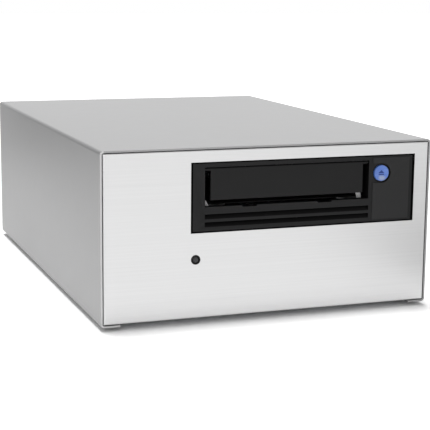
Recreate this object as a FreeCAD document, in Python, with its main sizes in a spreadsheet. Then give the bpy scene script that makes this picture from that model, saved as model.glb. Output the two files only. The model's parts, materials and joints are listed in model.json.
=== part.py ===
import FreeCAD, Part
import math
import os
from types import SimpleNamespace
import Sketcher

# A half-height data tape drive in a desktop enclosure, in millimetres. +Z is up, the
# front faces -Y, and the origin lies on the table under the middle of the enclosure.
#
# The enclosure's own frame starts at the sleeve's front edge: X from the middle, Y
# inward, Z up from the sleeve's underside. The drive's own frame starts at the middle
# of its front opening: X from the middle, Y inward, Z up from the opening's lower edge.
# Screws, posts and other small turned pieces are drawn with a few flat sides.

SIZES = {
    # sleeve: one bent sheet that is open underneath between its two lips
    "sleeve_width": 215.6,
    "sleeve_height": 105.5,
    "sleeve_depth": 308.0,
    "sleeve_sheet": 1.2,
    "sleeve_bend": 2.4,
    "lip_width": 12.0,
    # square stick-on feet
    "foot_height": 2.0,
    "foot_width": 13.0,
    "foot_edge": 0.8,
    "foot_side_inset": 22.0,
    "foot_end_inset": 26.0,
    # screws with pan heads
    "screw_radius": 1.45,
    "screw_clearance": 0.25,
    "screw_head_radius": 2.9,
    "screw_head_height": 1.5,
    "screw_length": 6.0,
    "panel_screw_reach": 2.0,
    "fan_screw_length": 10.0,
    "side_screw_length": 4.4,
    # tray that carries everything inside
    "tray_sheet": 1.2,
    "tray_wall_height": 14.0,
    "tray_gap": 0.3,
    "tab_width": 86.0,
    "tab_height": 11.0,
    "tab_screw_side": 34.5,
    "tab_screw_level": 8.2,
    "cover_screw_inset": 16.0,
    "vent_side": 44.0,
    "vent_start": 24.0,
    "vent_length": 46.0,
    "vent_width": 3.0,
    "vent_pitch": 7.0,
    "vent_count": 7.0,
    # front panel
    "panel_thickness": 3.0,
    "panel_gap": 0.6,
    "panel_proud": 0.3,
    "panel_edge": 0.5,
    "blind_hole_depth": 2.2,
    "opening_width": 149.0,
    "opening_height": 42.8,
    "opening_right": 11.0,
    "opening_top": 8.8,
    # power light
    "led_left": 58.8,
    "led_level": 37.8,
    "led_radius": 1.9,
    "led_ring_radius": 2.95,
    "led_ring_proud": 0.5,
    "led_barrel_radius": 2.6,
    "led_barrel_length": 7.0,
    "led_length": 9.0,
    "fit_gap": 0.05,
    # rear panel
    "rear_sheet": 1.2,
    "rear_recess": 3.0,
    "rear_gap": 0.5,
    "rear_flange": 9.0,
    "cutout_gap": 0.1,
    # fan and its finger guard
    "fan_size": 80.0,
    "fan_depth": 25.0,
    "fan_inset": 8.0,
    "fan_top_gap": 8.7,
    "fan_plate": 4.0,
    "fan_throat_radius": 37.6,
    "fan_waist": 1.2,
    "fan_corner": 10.0,
    "fan_hole_spacing": 71.5,
    "fan_strut": 2.0,
    "fan_strut_width": 5.0,
    "fan_strut_root": 0.5,
    "stator_radius": 16.0,
    "stator_plate": 3.0,
    "stator_post": 12.0,
    "rotor_end_gap": 2.7,
    "rotor_bore_depth": 15.0,
    "rotor_hub_radius": 17.0,
    "blade_count": 7.0,
    "blade_root": 14.0,
    "blade_tip_gap": 1.0,
    "blade_reach": 8.0,
    "blade_rise": 13.0,
    "blade_camber": 1.6,
    "blade_sheet": 1.5,
    "blade_start": 19.0,
    "guard_plate": 1.0,
    "guard_corner": 6.0,
    "guard_radius": 35.5,
    "guard_bar": 2.4,
    # mains inlet
    "mains_left": 24.0,
    "inlet_width": 27.0,
    "inlet_height": 19.8,
    "inlet_level": 26.0,
    "inlet_rim": 2.0,
    "inlet_flange": 2.5,
    "inlet_depth": 22.0,
    "inlet_wall": 1.7,
    "inlet_bevel": 3.4,
    "inlet_floor": 4.0,
    "blade_pin_width": 2.0,
    "blade_pin_height": 4.0,
    "blade_pin_length": 14.0,
    "blade_pin_side": 7.0,
    "blade_pin_drop": 1.5,
    "earth_pin_rise": 2.5,
    # rocker switch
    "switch_width": 19.2,
    "switch_height": 12.9,
    "switch_level": 58.0,
    "switch_depth": 16.0,
    "switch_rim": 1.2,
    "switch_flange": 1.6,
    "switch_wall": 1.0,
    "switch_pocket": 8.0,
    "rocker_pivot": 3.0,
    "rocker_pin": 0.75,
    "rocker_pin_end": 0.3,
    "rocker_side_gap": 0.4,
    "rocker_end_gap": 0.6,
    "rocker_back": 5.2,
    "rocker_shoulder": 1.5,
    "rocker_nose": 1.6,
    "rocker_valley": 0.2,
    "rocker_heel": 0.6,
    # data ports on their small board
    "port_width": 26.0,
    "port_height": 9.6,
    "port_depth": 20.0,
    "port_proud": 0.8,
    "port_wall": 0.8,
    "port_floor": 2.0,
    "port_pitch": 32.0,
    "port_level": 24.0,
    "port_gap": 0.2,
    "tongue_side": 4.0,
    "tongue_sheet": 1.0,
    "tongue_length": 14.0,
    "port_board_sheet": 1.6,
    "port_board_length": 29.0,
    "port_board_side": 2.0,
    "port_board_gap": 1.0,
    "pillar_radius": 3.0,
    "pillar_inset": 5.5,
    # power supply
    "supply_width": 82.0,
    "supply_height": 38.0,
    "supply_sheet": 1.2,
    "supply_from_rear": 40.0,
    "supply_gap": 3.0,
    "supply_slot_side": 10.0,
    "supply_slot_end": 12.0,
    "supply_slot_width": 3.0,
    "supply_slot_count": 9.0,
    "terminal_length": 12.0,
    "terminal_side": 12.0,
    "terminal_height": 14.0,
    "terminal_gap": 2.0,
    "terminal_wall": 1.2,
    "terminal_gate": 6.8,
    "terminal_gate_length": 7.8,
    "terminal_gate_depth": 8.0,
    "terminal_count": 7.0,
    # drive brackets
    "bracket_sheet": 1.2,
    "bracket_length": 102.0,
    "bracket_start": 36.0,
    "bracket_flange": 8.0,
    "bracket_rise": 8.0,
    "bracket_window_end": 12.0,
    "bracket_window_low": 10.0,
    "bracket_window_high": 8.0,
    "bracket_window_corner": 4.0,
    "side_gap": 0.1,
    "side_hole_level": 10.0,
    "side_hole_first": 52.0,
    "side_hole_pitch": 79.2,
    # bezel
    "bezel_side_gap": 0.6,
    "bezel_gap": 0.4,
    "bezel_depth": 10.0,
    "bezel_front": 3.2,
    "bezel_wall": 1.8,
    "bezel_top_wall": 0.7,
    "bezel_edge": 0.3,
    "bezel_step": 0.4,
    "slot_left": 8.9,
    "slot_width": 108.4,
    "slot_bottom": 15.5,
    "slot_top": 39.5,
    "slot_wall": 1.4,
    "slot_roof": 0.9,
    "sill_depth": 5.4,
    "sill_relief": 0.5,
    "louvre_depth": 2.4,
    "louvre_height": 2.9,
    "louvre_low": 3.4,
    "louvre_high": 8.2,
    "louvre_end": 0.3,
    "notch_width": 10.8,
    "notch_depth": 0.9,
    "notch_slope": 1.0,
    "notch_side": 24.8,
    "notch_shift": 0.6,
    "raised_gap": 2.7,
    "raised_side": 3.7,
    "raised_bottom": 2.1,
    "raised_top": 1.8,
    # eject button
    "button_from_slot": 8.7,
    "button_level": 31.3,
    "button_radius": 5.0,
    "button_edge": 0.3,
    "button_ring": 1.2,
    "button_ring_depth": 1.2,
    "button_play": 0.25,
    "button_length": 4.45,
    "button_proud": 0.2,
    "button_travel": 1.0,
    "button_boss": 1.6,
    "button_boss_root": 1.0,
    "switch_body": 6.0,
    "switch_body_depth": 3.6,
    "plunger_radius": 1.6,
    "plunger_gap": 0.15,
    "board_sheet": 1.6,
    "front_board_side": 2.0,
    # cartridge door
    "door_side_gap": 3.9,
    "door_bottom": 19.4,
    "door_sheet": 1.5,
    "door_edge": 0.4,
    "door_setback": 1.2,
    "hinge_level": 38.15,
    "hinge_inset": 2.2,
    "hinge_radius": 1.0,
    "hinge_end_gap": 0.5,
    "pin_radius": 0.5,
    "pin_play": 0.05,
    "pin_end_gap": 0.2,
    # drive base, covers and board
    "drive_inset": 2.3,
    "drive_length": 205.0,
    "drive_wall": 2.2,
    "drive_bottom": 1.7,
    "drive_headroom": 2.3,
    "deck_level": 6.6,
    "deck_sheet": 2.6,
    "deck_notch_left": 12.0,
    "deck_notch_width": 50.0,
    "deck_notch_length": 26.0,
    "deck_notch_rise": 3.0,
    "deck_window_side": 50.0,
    "deck_window_width": 14.0,
    "deck_window_start": 40.0,
    "deck_window_length": 44.0,
    "cover_sheet": 0.8,
    "cover_skirt": 8.0,
    "cover_gap": 0.2,
    "bottom_inset": 2.0,
    "bottom_end_gap": 1.0,
    "bottom_slot_reach": 48.0,
    "bottom_slot_start": 24.0,
    "bottom_slot_width": 3.0,
    "bottom_slot_pitch": 8.0,
    "bottom_slot_count": 4.0,
    "main_board_gap": 4.0,
    "main_board_level": 2.9,
    "main_board_start": 58.0,
    "main_board_end": 7.0,
    "chip_height": 0.9,
    "chip_large": 27.0,
    "chip_small": 16.0,
    "standoff_radius": 3.0,
    "standoff_side": 60.0,
    "standoff_first": 64.0,
    "standoff_middle": 120.0,
    "standoff_rear": 190.0,
    "plug_left": 16.0,
    "plug_width": 42.0,
    "plug_depth": 18.0,
    "plug_height": 6.5,
    "plug_side_wall": 2.0,
    "plug_wall": 1.2,
    "plug_mouth": 12.0,
    "plug_tongue": 1.3,
    "plug_tongue_side": 4.0,
    "plug_tongue_length": 10.0,
    # cartridge carriage and its slides
    "carriage_side_gap": 2.7,
    "carriage_sheet": 0.8,
    "carriage_start": 6.0,
    "carriage_end": 112.0,
    "carriage_floor": 14.5,
    "carriage_top": 38.2,
    "carriage_lip": 9.0,
    "carriage_tab": 4.4,
    "carriage_tab_lean": 1.6,
    "carriage_tab_length": 5.5,
    "carriage_post": 10.5,
    "carriage_brow": 5.0,
    "carriage_brow_gap": 0.6,
    "door_swing_gap": 0.5,
    "throat_inset": 10.0,
    "throat_depth": 8.0,
    "throat_bevel": 6.0,
    "hub_window_width": 40.0,
    "hub_window_start": 38.5,
    "hub_window_length": 54.0,
    "hub_window_corner": 6.0,
    "slide_pin_radius": 1.2,
    "slide_pin_first": 32.5,
    "slide_pin_pitch": 64.0,
    "slide_pin_rise": 3.5,
    "slide_pin_reach": 0.6,
    "load_drop": 4.5,
    "slide_gap": 0.6,
    "slide_sheet": 1.0,
    "slide_bar": 2.0,
    "slide_bar_sheet": 0.75,
    "slide_start": 16.5,
    "slide_end_gap": 1.0,
    "slide_height": 16.0,
    "slide_nose": 14.0,
    "slide_nose_drop": 6.0,
    "slide_horn": 8.0,
    "slide_slot_gap": 0.3,
    # reels, head and tape path
    "clutch_centre": 73.3,
    "clutch_radius": 14.0,
    "clutch_height": 2.8,
    "clutch_tooth": 1.0,
    "clutch_tooth_length": 3.4,
    "clutch_tooth_inset": 0.6,
    "clutch_tooth_root": 0.9,
    "clutch_tooth_tip": 1.3,
    "clutch_tooth_count": 12.0,
    "supply_motor_width": 34.0,
    "supply_motor_height": 2.3,
    "spindle_radius": 3.0,
    "spindle_play": 0.05,
    "spindle_end": 0.6,
    "reel_centre": 166.0,
    "reel_radius": 35.0,
    "reel_hub_radius": 21.0,
    "reel_flange": 1.0,
    "reel_height": 16.1,
    "reel_motor_width": 48.0,
    "reel_motor_height": 4.3,
    "motor_corner": 0.3,
    "leader_slot_start": 4.5,
    "leader_slot_half": 3.0,
    "leader_slot_flare": 6.0,
    "leader_slot_taper": 5.0,
    "reel_window_inner": 24.0,
    "reel_window_outer": 32.0,
    "reel_window_half": 5.0,
    "reel_window_count": 5.0,
    "running_gap": 0.3,
    "path_inset": 8.0,
    "roller_radius": 4.0,
    "roller_height": 17.0,
    "roller_level": 13.5,
    "roller_first": 30.0,
    "roller_second": 15.0,
    "roller_third": 13.5,
    "roller_fourth": 30.5,
    "roller_step": 5.0,
    "roller_last_step": 9.0,
    "post_radius": 1.5,
    "post_play": 0.15,
    "post_end": 0.4,
    "boss_radius": 2.6,
    "head_back": 7.0,
    "head_face": 3.2,
    "head_length": 14.0,
    "head_nose": 2.6,
    "head_groove": 0.6,
    "head_groove_half": 0.3,
    "head_height": 16.0,
    "head_level": 14.0,
    "head_centre": 165.0,
    "head_base_sheet": 1.4,
    "head_base_side": 0.5,
    "rail_radius": 1.2,
    "rail_side": 4.6,
    "rail_half_pitch": 4.0,
    "rail_top_gap": 1.5,
    "arm_level": 34.0,
    "arm_sheet": 1.5,
    "arm_width": 7.0,
    "arm_waist": 2.0,
    "arm_root": 10.0,
    "arm_end": 8.0,
    "arm_length": 53.0,
    "arm_pivot_step": 1.4,
    "arm_pivot_centre": 187.5,
    "arm_finger": 2.6,
    "arm_finger_radius": 1.6,
    # loading motor beside the carriage
    "motor_gap": 1.2,
    "gearbox_width": 12.0,
    "gearbox_height": 14.0,
    "gearbox_start": 94.0,
    "gearbox_length": 14.0,
    "motor_radius": 5.8,
    "motor_length": 24.0,
}

doc = FreeCAD.newDocument("tape_drive")
sheet = doc.addObject("Spreadsheet::Sheet", "Sizes")
for row, (alias, number) in enumerate(SIZES.items(), start=1):
    sheet.set(f"A{row}", alias)
    sheet.set(f"B{row}", str(number))
    sheet.setAlias(f"B{row}", alias)
doc.recompute()

SCREW_SIDES = 8
HEAD_SIDES = 12
SIDES = (-1, 1)
GUARD_ROWS = 5


class Size:
    """A length that keeps its number beside its spreadsheet expression."""

    def __init__(self, number, text=None):
        self.number = float(number)
        self.text = text or f"({self.number:.9g})"

    def __add__(self, other):
        other = as_size(other)
        return Size(self.number + other.number, f"({self.text} + {other.text})")

    def __sub__(self, other):
        other = as_size(other)
        return Size(self.number - other.number, f"({self.text} - {other.text})")

    def __mul__(self, other):
        other = as_size(other)
        return Size(self.number * other.number, f"({self.text} * {other.text})")

    def __truediv__(self, other):
        other = as_size(other)
        return Size(self.number / other.number, f"({self.text} / {other.text})")

    def __neg__(self):
        return Size(-self.number, f"(0 - {self.text})")

    def __radd__(self, other):
        return as_size(other) + self

    def __rsub__(self, other):
        return as_size(other) - self

    def __rmul__(self, other):
        return as_size(other) * self


def as_size(value):
    """Return value as a Size."""
    return value if isinstance(value, Size) else Size(value)


def chord(radius, offset):
    """Return half the chord of a circle at an offset from its middle."""
    square = radius * radius - offset * offset
    return Size(math.sqrt(square.number), f"sqrt({square.text})")


def bind(item, prop, length):
    """Tie a property of item to a size's spreadsheet expression."""
    item.setExpression(prop, as_size(length).text)


s = SimpleNamespace(**{alias: Size(number, f"Sizes.{alias}") for alias, number in SIZES.items()})
NODES = []


def register(item, label, origin):
    """Name a finished sub-part, put it at its origin and list it for export."""
    item.Label = label
    for axis, length in zip("xyz", origin):
        bind(item, f"Placement.Base.{axis}", length)
    NODES.append(item)
    return item


def outline(*points):
    """Return a drawer for a closed outline; a third value rounds that square corner."""

    def add(sketch):
        corners = [tuple(as_size(value) for value in point) for point in points]
        legs = [corner_leg(corners, index) for index in range(len(corners))]
        lines = []
        for index, (_, leave, _) in enumerate(legs):
            enter, _, arc = legs[(index + 1) % len(legs)]
            start, stop = [FreeCAD.Vector(end[0].number, end[1].number, 0) for end in (leave, enter)]
            line = sketch.addGeometry(Part.LineSegment(start, stop), False)
            lines.append(line)
            pin_point(sketch, line, 1, leave)
            if arc:
                pin_point(sketch, line, 2, enter)
        for index, (_, _, arc) in enumerate(legs):
            if arc:
                add_corner(sketch, legs[index], lines[index - 1], lines[index])
            else:
                joint = Sketcher.Constraint("Coincident", lines[index - 1], 2, lines[index], 1)
                sketch.addConstraint(joint)

    return add


def corner_leg(corners, index):
    """Return where an outline enters and leaves a corner, and the arc between them if any."""
    here = corners[index]
    if len(here) == 2:
        return here, here, None
    x, y, radius = here
    ways = []
    for start, stop in ((corners[index - 1], here), (here, corners[(index + 1) % len(corners)])):
        across = stop[0].number - start[0].number
        along = stop[1].number - start[1].number
        length = math.hypot(across, along)
        ways.append((round(across / length, 6), round(along / length, 6)))
    way_in, way_out = ways
    enter = (x - way_in[0] * radius, y - way_in[1] * radius)
    leave = (x + way_out[0] * radius, y + way_out[1] * radius)
    middle = (enter[0] + way_out[0] * radius, enter[1] + way_out[1] * radius)
    turn = way_in[0] * way_out[1] - way_in[1] * way_out[0]
    return enter, leave, (middle, radius, turn)


def pin_point(sketch, item, vertex, point):
    """Hold one point of a sketch item at a bound distance from the sketch's origin."""
    for kind, length in zip(("DistanceX", "DistanceY"), point):
        rule = Sketcher.Constraint(kind, -1, 1, item, vertex, length.number)
        index = sketch.addConstraint(rule)
        bind(sketch, f"Constraints[{index}]", length)


def add_corner(sketch, leg, before, after):
    """Join two lines of a sketch by a quarter circle."""
    enter, leave, (middle, radius, turn) = leg
    centre = FreeCAD.Vector(middle[0].number, middle[1].number, 0)
    first, last = (enter, leave) if turn > 0 else (leave, enter)
    angles = []
    for end in (first, last):
        angles.append(math.atan2(end[1].number - centre.y, end[0].number - centre.x))
    circle_of_arc = Part.Circle(centre, FreeCAD.Vector(0, 0, 1), radius.number)
    arc = sketch.addGeometry(Part.ArcOfCircle(circle_of_arc, angles[0], angles[1]), False)
    starts = (1, 2) if turn > 0 else (2, 1)
    sketch.addConstraint(Sketcher.Constraint("Coincident", before, 2, arc, starts[0]))
    sketch.addConstraint(Sketcher.Constraint("Coincident", after, 1, arc, starts[1]))
    rule = sketch.addConstraint(Sketcher.Constraint("Radius", arc, radius.number))
    bind(sketch, f"Constraints[{rule}]", radius)


def rectangle(left, bottom, right, top, corner=None):
    """Return a drawer for a rectangle, with rounded corners where corner is given."""
    ends = ((left, bottom), (right, bottom), (right, top), (left, top))
    return outline(*(end if corner is None else (*end, corner) for end in ends))


def clipped(left, bottom, right, top, cut):
    """Return a drawer for a rectangle with its corners cut off straight."""
    return outline(
        (left + cut, bottom), (right - cut, bottom), (right, bottom + cut), (right, top - cut),
        (right - cut, top), (left + cut, top), (left, top - cut), (left, bottom + cut),
    )


def polygon(across, along, radius, sides):
    """Return a drawer for a regular polygon whose corners lie on a circle."""
    points = []
    for index in range(sides):
        angle = math.tau * (index + 0.5) / sides
        sideways = radius * round(math.cos(angle), 6)
        upward = radius * round(math.sin(angle), 6)
        points.append((across + sideways, along + upward))
    return outline(*points)


def screw_hole(across, along):
    """Return a drawer for a screw's clearance hole."""
    return polygon(across, along, s.screw_radius + s.screw_clearance, SCREW_SIDES)


def circle(across, along, radius):
    """Return a drawer for a circle."""

    def add(sketch):
        centre = FreeCAD.Vector(as_size(across).number, as_size(along).number, 0)
        normal = FreeCAD.Vector(0, 0, 1)
        item = sketch.addGeometry(Part.Circle(centre, normal, as_size(radius).number), False)
        rule = sketch.addConstraint(Sketcher.Constraint("Radius", item, as_size(radius).number))
        bind(sketch, f"Constraints[{rule}]", radius)
        pin_point(sketch, item, 3, (as_size(across), as_size(along)))

    return add


class Piece:
    """A PartDesign body with short calls for the features it is made of."""

    def __init__(self, label):
        self.label = label
        self.body = doc.addObject("PartDesign::Body", label)

    def origin_item(self, role):
        """Return one of the body's own planes or axes."""
        return next(item for item in self.body.Origin.OriginFeatures if item.Role == role)

    def sketch(self, plane, level, drawers):
        """Draw closed loops on an origin plane, moved to a level along its own axis."""
        sketch = self.body.newObject("Sketcher::SketchObject", f"{self.label}_sketch")
        sketch.AttachmentSupport = [(self.origin_item(f"{plane}_Plane"), "")]
        sketch.MapMode = "FlatFace"
        lift = -as_size(level) if plane == "XZ" else as_size(level)
        bind(sketch, "AttachmentOffset.Base.z", lift)
        for drawer in drawers:
            drawer(sketch)
        return sketch

    def pad(self, plane, level, toward, length, *drawers):
        """Add material from a level, along the plane's axis (toward is 1 or -1)."""
        feature = self.body.newObject("PartDesign::Pad", f"{self.label}_pad")
        feature.Profile = self.sketch(plane, level, drawers)
        feature.Reversed = toward > 0 if plane == "XZ" else toward < 0
        bind(feature, "Length", length)
        return feature

    def pocket(self, plane, level, toward, length, *drawers):
        """Cut material away from a level, and make sure that something was cut."""
        doc.recompute()
        volume = self.body.Shape.Volume
        sketch = self.sketch(plane, level, drawers)
        feature = self.body.newObject("PartDesign::Pocket", f"{self.label}_pocket")
        feature.Profile = sketch
        feature.Reversed = toward < 0 if plane == "XZ" else toward > 0
        bind(feature, "Length", length)
        doc.recompute()
        if self.body.Shape.Volume > volume - 1e-6:
            raise ValueError(f"{self.label}: a pocket cut nothing")
        return feature

    def revolve(self, plane, *drawers):
        """Turn loops once round the plane's upright axis."""
        sketch = self.sketch(plane, 0, drawers)
        feature = self.body.newObject("PartDesign::Revolution", f"{self.label}_turn")
        feature.Profile = sketch
        feature.ReferenceAxis = (sketch, ["V_Axis"])
        feature.Angle = 360
        return feature

    def dress(self, kind, prop, size, test):
        """Fillet or chamfer the edges of the body so far that pass a test."""
        doc.recompute()
        base = self.body.Tip
        names = []
        for index, edge in enumerate(base.Shape.Edges, start=1):
            if test(edge):
                names.append(f"Edge{index}")
        if not names:
            raise ValueError(f"{self.label}: no edge to dress")
        feature = self.body.newObject(f"PartDesign::{kind}", f"{self.label}_{kind.lower()}")
        feature.Base = (base, names)
        bind(feature, prop, size)
        return feature

    def fillet(self, radius, test):
        """Round the edges that pass a test."""
        return self.dress("Fillet", "Radius", radius, test)

    def chamfer(self, size, test):
        """Bevel the edges that pass a test."""
        return self.dress("Chamfer", "Size", size, test)

    def repeat(self, feature, axis, length, count):
        """Repeat a feature in a row along an axis of its own sketch."""
        doc.recompute()
        pattern = self.body.newObject("PartDesign::LinearPattern", f"{self.label}_row")
        pattern.Originals = [feature]
        pattern.Direction = (feature.Profile[0], [axis])
        bind(pattern, "Length", length)
        bind(pattern, "Occurrences", count)
        self.body.Tip = pattern
        return pattern

    def ring(self, feature, axis, count):
        """Repeat a feature round one of the body's own axes."""
        doc.recompute()
        pattern = self.body.newObject("PartDesign::PolarPattern", f"{self.label}_ring")
        pattern.Originals = [feature]
        pattern.Axis = (self.origin_item(f"{axis}_Axis"), [""])
        pattern.Angle = 360
        bind(pattern, "Occurrences", count)
        self.body.Tip = pattern
        return pattern

    def finish(self, origin):
        """Put the body at its origin and list it for export."""
        return register(self.body, self.label, origin)


def flat_edges(axis, level):
    """Return a test for edges that lie wholly in the plane axis = level."""
    place = as_size(level).number

    def test(edge):
        box = edge.BoundBox
        low, high = [getattr(box, f"{axis}{end}") for end in ("Min", "Max")]
        return abs(low - place) < 1e-4 and abs(high - place) < 1e-4

    return test


def rod(name, centre, radius, length, axis, sides=0):
    """Return a Part cylinder or many-sided prism that runs from centre along an axis."""
    turns = {
        "X": (FreeCAD.Vector(0, 1, 0), 90),
        "Y": (FreeCAD.Vector(1, 0, 0), -90),
        "Z": (FreeCAD.Vector(0, 0, 1), 0),
    }
    if sides:
        item = doc.addObject("Part::Prism", name)
        item.Polygon = sides
        bind(item, "Circumradius", radius)
    else:
        item = doc.addObject("Part::Cylinder", name)
        bind(item, "Radius", radius)
    item.Placement = FreeCAD.Placement(FreeCAD.Vector(), FreeCAD.Rotation(*turns[axis]))
    bind(item, "Height", length)
    for letter, place in zip("xyz", centre):
        bind(item, f"Placement.Base.{letter}", place)
    return item


def fuse(name, items):
    """Return the fusion of several objects."""
    item = doc.addObject("Part::MultiFuse", name)
    item.Shapes = items
    return item


def bundle(name, items, origin):
    """List several loose solids as one sub-part, such as a set of screws."""
    item = doc.addObject("Part::Compound", name)
    item.Links = items
    return register(item, name, origin)


def screw(name, place, way, length, axis):
    """Return a pan-head screw with its head's seat at place, pointing along way (1 or -1)."""
    index = "XYZ".index(axis)
    head_start = list(place)
    shank_start = list(place)
    if way > 0:
        head_start[index] = place[index] - s.screw_head_height
    else:
        shank_start[index] = place[index] - length
    head = rod(f"{name}_head", head_start, s.screw_head_radius, s.screw_head_height, axis, HEAD_SIDES)
    shank = rod(f"{name}_shank", shank_start, s.screw_radius, length, axis, SCREW_SIDES)
    return fuse(name, [head, shank])


# Places that several pieces share. front_y puts the whole part's middle over the origin.
front_y = -(s.sleeve_depth - s.panel_proud) / 2
enclosure = (Size(0), front_y, s.foot_height)
half_width = s.sleeve_width / 2
inner_half = half_width - s.sleeve_sheet
inner_top = s.sleeve_height - s.sleeve_sheet
floor_top = s.sleeve_sheet + s.tray_sheet
panel_back = s.panel_thickness - s.panel_proud
rear_face = s.sleeve_depth - s.rear_recess
rear_front = rear_face - s.rear_sheet
cover_screw_side = half_width - s.lip_width / 2
cover_screw_ends = (s.cover_screw_inset, s.sleeve_depth - s.cover_screw_inset)
fan_side = inner_half - s.fan_inset - s.fan_size / 2
fan_level = inner_top - s.fan_top_gap - s.fan_size / 2
mains = s.mains_left - half_width
opening_centre = half_width - s.opening_right - s.opening_width / 2
opening_low = s.sleeve_height - s.opening_top - s.opening_height
drive = (opening_centre, front_y - s.panel_proud, s.foot_height + opening_low)
drive_half = s.opening_width / 2 - s.drive_inset
drive_top = s.opening_height - s.drive_headroom
deck_top = s.deck_level + s.deck_sheet
slot_centre = s.slot_left + s.slot_width / 2 - s.opening_width / 2
slot_right = slot_centre + s.slot_width / 2
raised_left = slot_right + s.raised_gap
raised_right = s.opening_width / 2 - s.raised_side
raised_top = s.opening_height - s.raised_top
button_side = slot_right + s.button_from_slot
carriage_half = s.slot_width / 2 - s.carriage_side_gap
bay = (drive[0] + slot_centre, drive[1], drive[2])
slide_inside = carriage_half + s.carriage_sheet + s.slide_gap
slide_outside = slide_inside + s.slide_sheet
slide_pins = (s.slide_pin_first, s.slide_pin_first + s.slide_pin_pitch)
path_left = s.path_inset + s.drive_wall - drive_half
arm_pivot = path_left + s.arm_pivot_step
roller_places = (
    (path_left + s.roller_step, s.head_centre - s.roller_first),
    (path_left, s.head_centre - s.roller_second),
    (path_left, s.head_centre + s.roller_third),
    (path_left + s.roller_last_step, s.head_centre + s.roller_fourth),
)


def make_sleeve():
    """Bend the outer cover: top, two sides and a narrow lip under each side."""
    piece = Piece("sleeve")
    bend = s.sleeve_bend
    inner_bend = s.sleeve_bend - s.sleeve_sheet
    lip = half_width - s.lip_width
    piece.pad(
        "XZ", 0, 1, s.sleeve_depth,
        outline(
            (-lip, 0), (-lip, s.sleeve_sheet), (-inner_half, s.sleeve_sheet, inner_bend),
            (-inner_half, inner_top, inner_bend), (inner_half, inner_top, inner_bend),
            (inner_half, s.sleeve_sheet, inner_bend), (lip, s.sleeve_sheet), (lip, 0),
            (half_width, 0, bend), (half_width, s.sleeve_height, bend),
            (-half_width, s.sleeve_height, bend), (-half_width, 0, bend),
        ),
    )
    holes = [screw_hole(side * cover_screw_side, level) for side in SIDES for level in cover_screw_ends]
    piece.pocket("XY", 0, 1, s.sleeve_sheet, *holes)
    piece.finish(enclosure)


def make_tray():
    """Bend the tray: a floor with vent slots, low side walls and a tab at each end."""
    piece = Piece("base_tray")
    half = inner_half - s.tray_gap
    wall = s.tray_sheet
    bend = s.sleeve_bend - s.sleeve_sheet + s.tray_gap
    top = s.sleeve_sheet + s.tray_wall_height
    piece.pad(
        "XZ", panel_back, 1, rear_front - panel_back,
        outline(
            (-half, s.sleeve_sheet, bend), (half, s.sleeve_sheet, bend), (half, top),
            (half - wall, top), (half - wall, floor_top, bend - wall),
            (-half + wall, floor_top, bend - wall), (-half + wall, top), (-half, top),
        ),
    )
    tab_half = s.tab_width / 2
    tab_top = floor_top + s.tab_height
    tabs = (panel_back, rear_front - wall)
    for level in tabs:
        piece.pad("XZ", level, 1, wall, rectangle(-tab_half, s.sleeve_sheet, tab_half, tab_top))
    for level in tabs:
        piece.pocket("XZ", level, 1, wall, *tab_screw_holes())
    row = (s.vent_count - 1) * s.vent_pitch
    left = inner_half - s.vent_side - row
    slot = piece.pocket(
        "XY", s.sleeve_sheet, 1, wall,
        rectangle(left, s.vent_start, left + s.vent_width, s.vent_start + s.vent_length),
    )
    piece.repeat(slot, "H_Axis", row, s.vent_count)
    holes = [screw_hole(side * cover_screw_side, level) for side in SIDES for level in cover_screw_ends]
    piece.pocket("XY", s.sleeve_sheet, 1, wall, *holes)
    piece.finish(enclosure)


def tab_screw_holes():
    """Return the drawers for the pair of screw holes at a tray tab."""
    return [screw_hole(side * s.tab_screw_side, s.tab_screw_level) for side in SIDES]


def make_feet():
    """Set four square rubber feet under the tray, between the sleeve's lips."""
    half = s.foot_width / 2
    for across, side in zip(("left", "right"), SIDES):
        for along, level in (("front", s.foot_end_inset), ("rear", s.sleeve_depth - s.foot_end_inset)):
            piece = Piece(f"foot_{along}_{across}")
            piece.pad("XY", 0, 1, s.foot_height + s.sleeve_sheet, rectangle(-half, -half, half, half))
            piece.chamfer(s.foot_edge, flat_edges("Z", 0))
            piece.finish((side * (half_width - s.foot_side_inset), front_y + level, Size(0)))


def make_front_panel():
    """Cut the front plate with the drive's opening and the hole for the power light."""
    piece = Piece("front_panel")
    half = inner_half - s.panel_gap
    low = s.sleeve_sheet + s.panel_gap
    high = inner_top - s.panel_gap
    left = opening_centre - s.opening_width / 2
    piece.pad("XZ", -s.panel_proud, 1, s.panel_thickness, rectangle(-half, low, half, high))
    piece.chamfer(s.panel_edge, flat_edges("Y", -s.panel_proud))
    piece.pocket(
        "XZ", -s.panel_proud, 1, s.panel_thickness,
        rectangle(
            left, opening_low, left + s.opening_width, opening_low + s.opening_height,
        ),
        circle(s.led_left - half_width, s.led_level, s.led_barrel_radius + s.fit_gap),
    )
    piece.pocket("XZ", panel_back, -1, s.blind_hole_depth, *tab_screw_holes())
    piece.finish(enclosure)


def make_power_light():
    """Turn the light's black holder and its lens."""
    place = (s.led_left - half_width, front_y - s.panel_proud, s.foot_height + s.led_level)
    holder = Piece("led_holder")
    bore = circle(0, 0, s.led_radius + s.fit_gap)
    holder.pad("XZ", -s.led_ring_proud, 1, s.led_ring_proud, circle(0, 0, s.led_ring_radius), bore)
    holder.pad("XZ", 0, 1, s.led_barrel_length, circle(0, 0, s.led_barrel_radius), bore)
    holder.finish(place)
    lens = Piece("power_led")
    lens.pad("XZ", -s.led_ring_proud, 1, s.led_length, circle(0, 0, s.led_radius))
    lens.finish(place)


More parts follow.
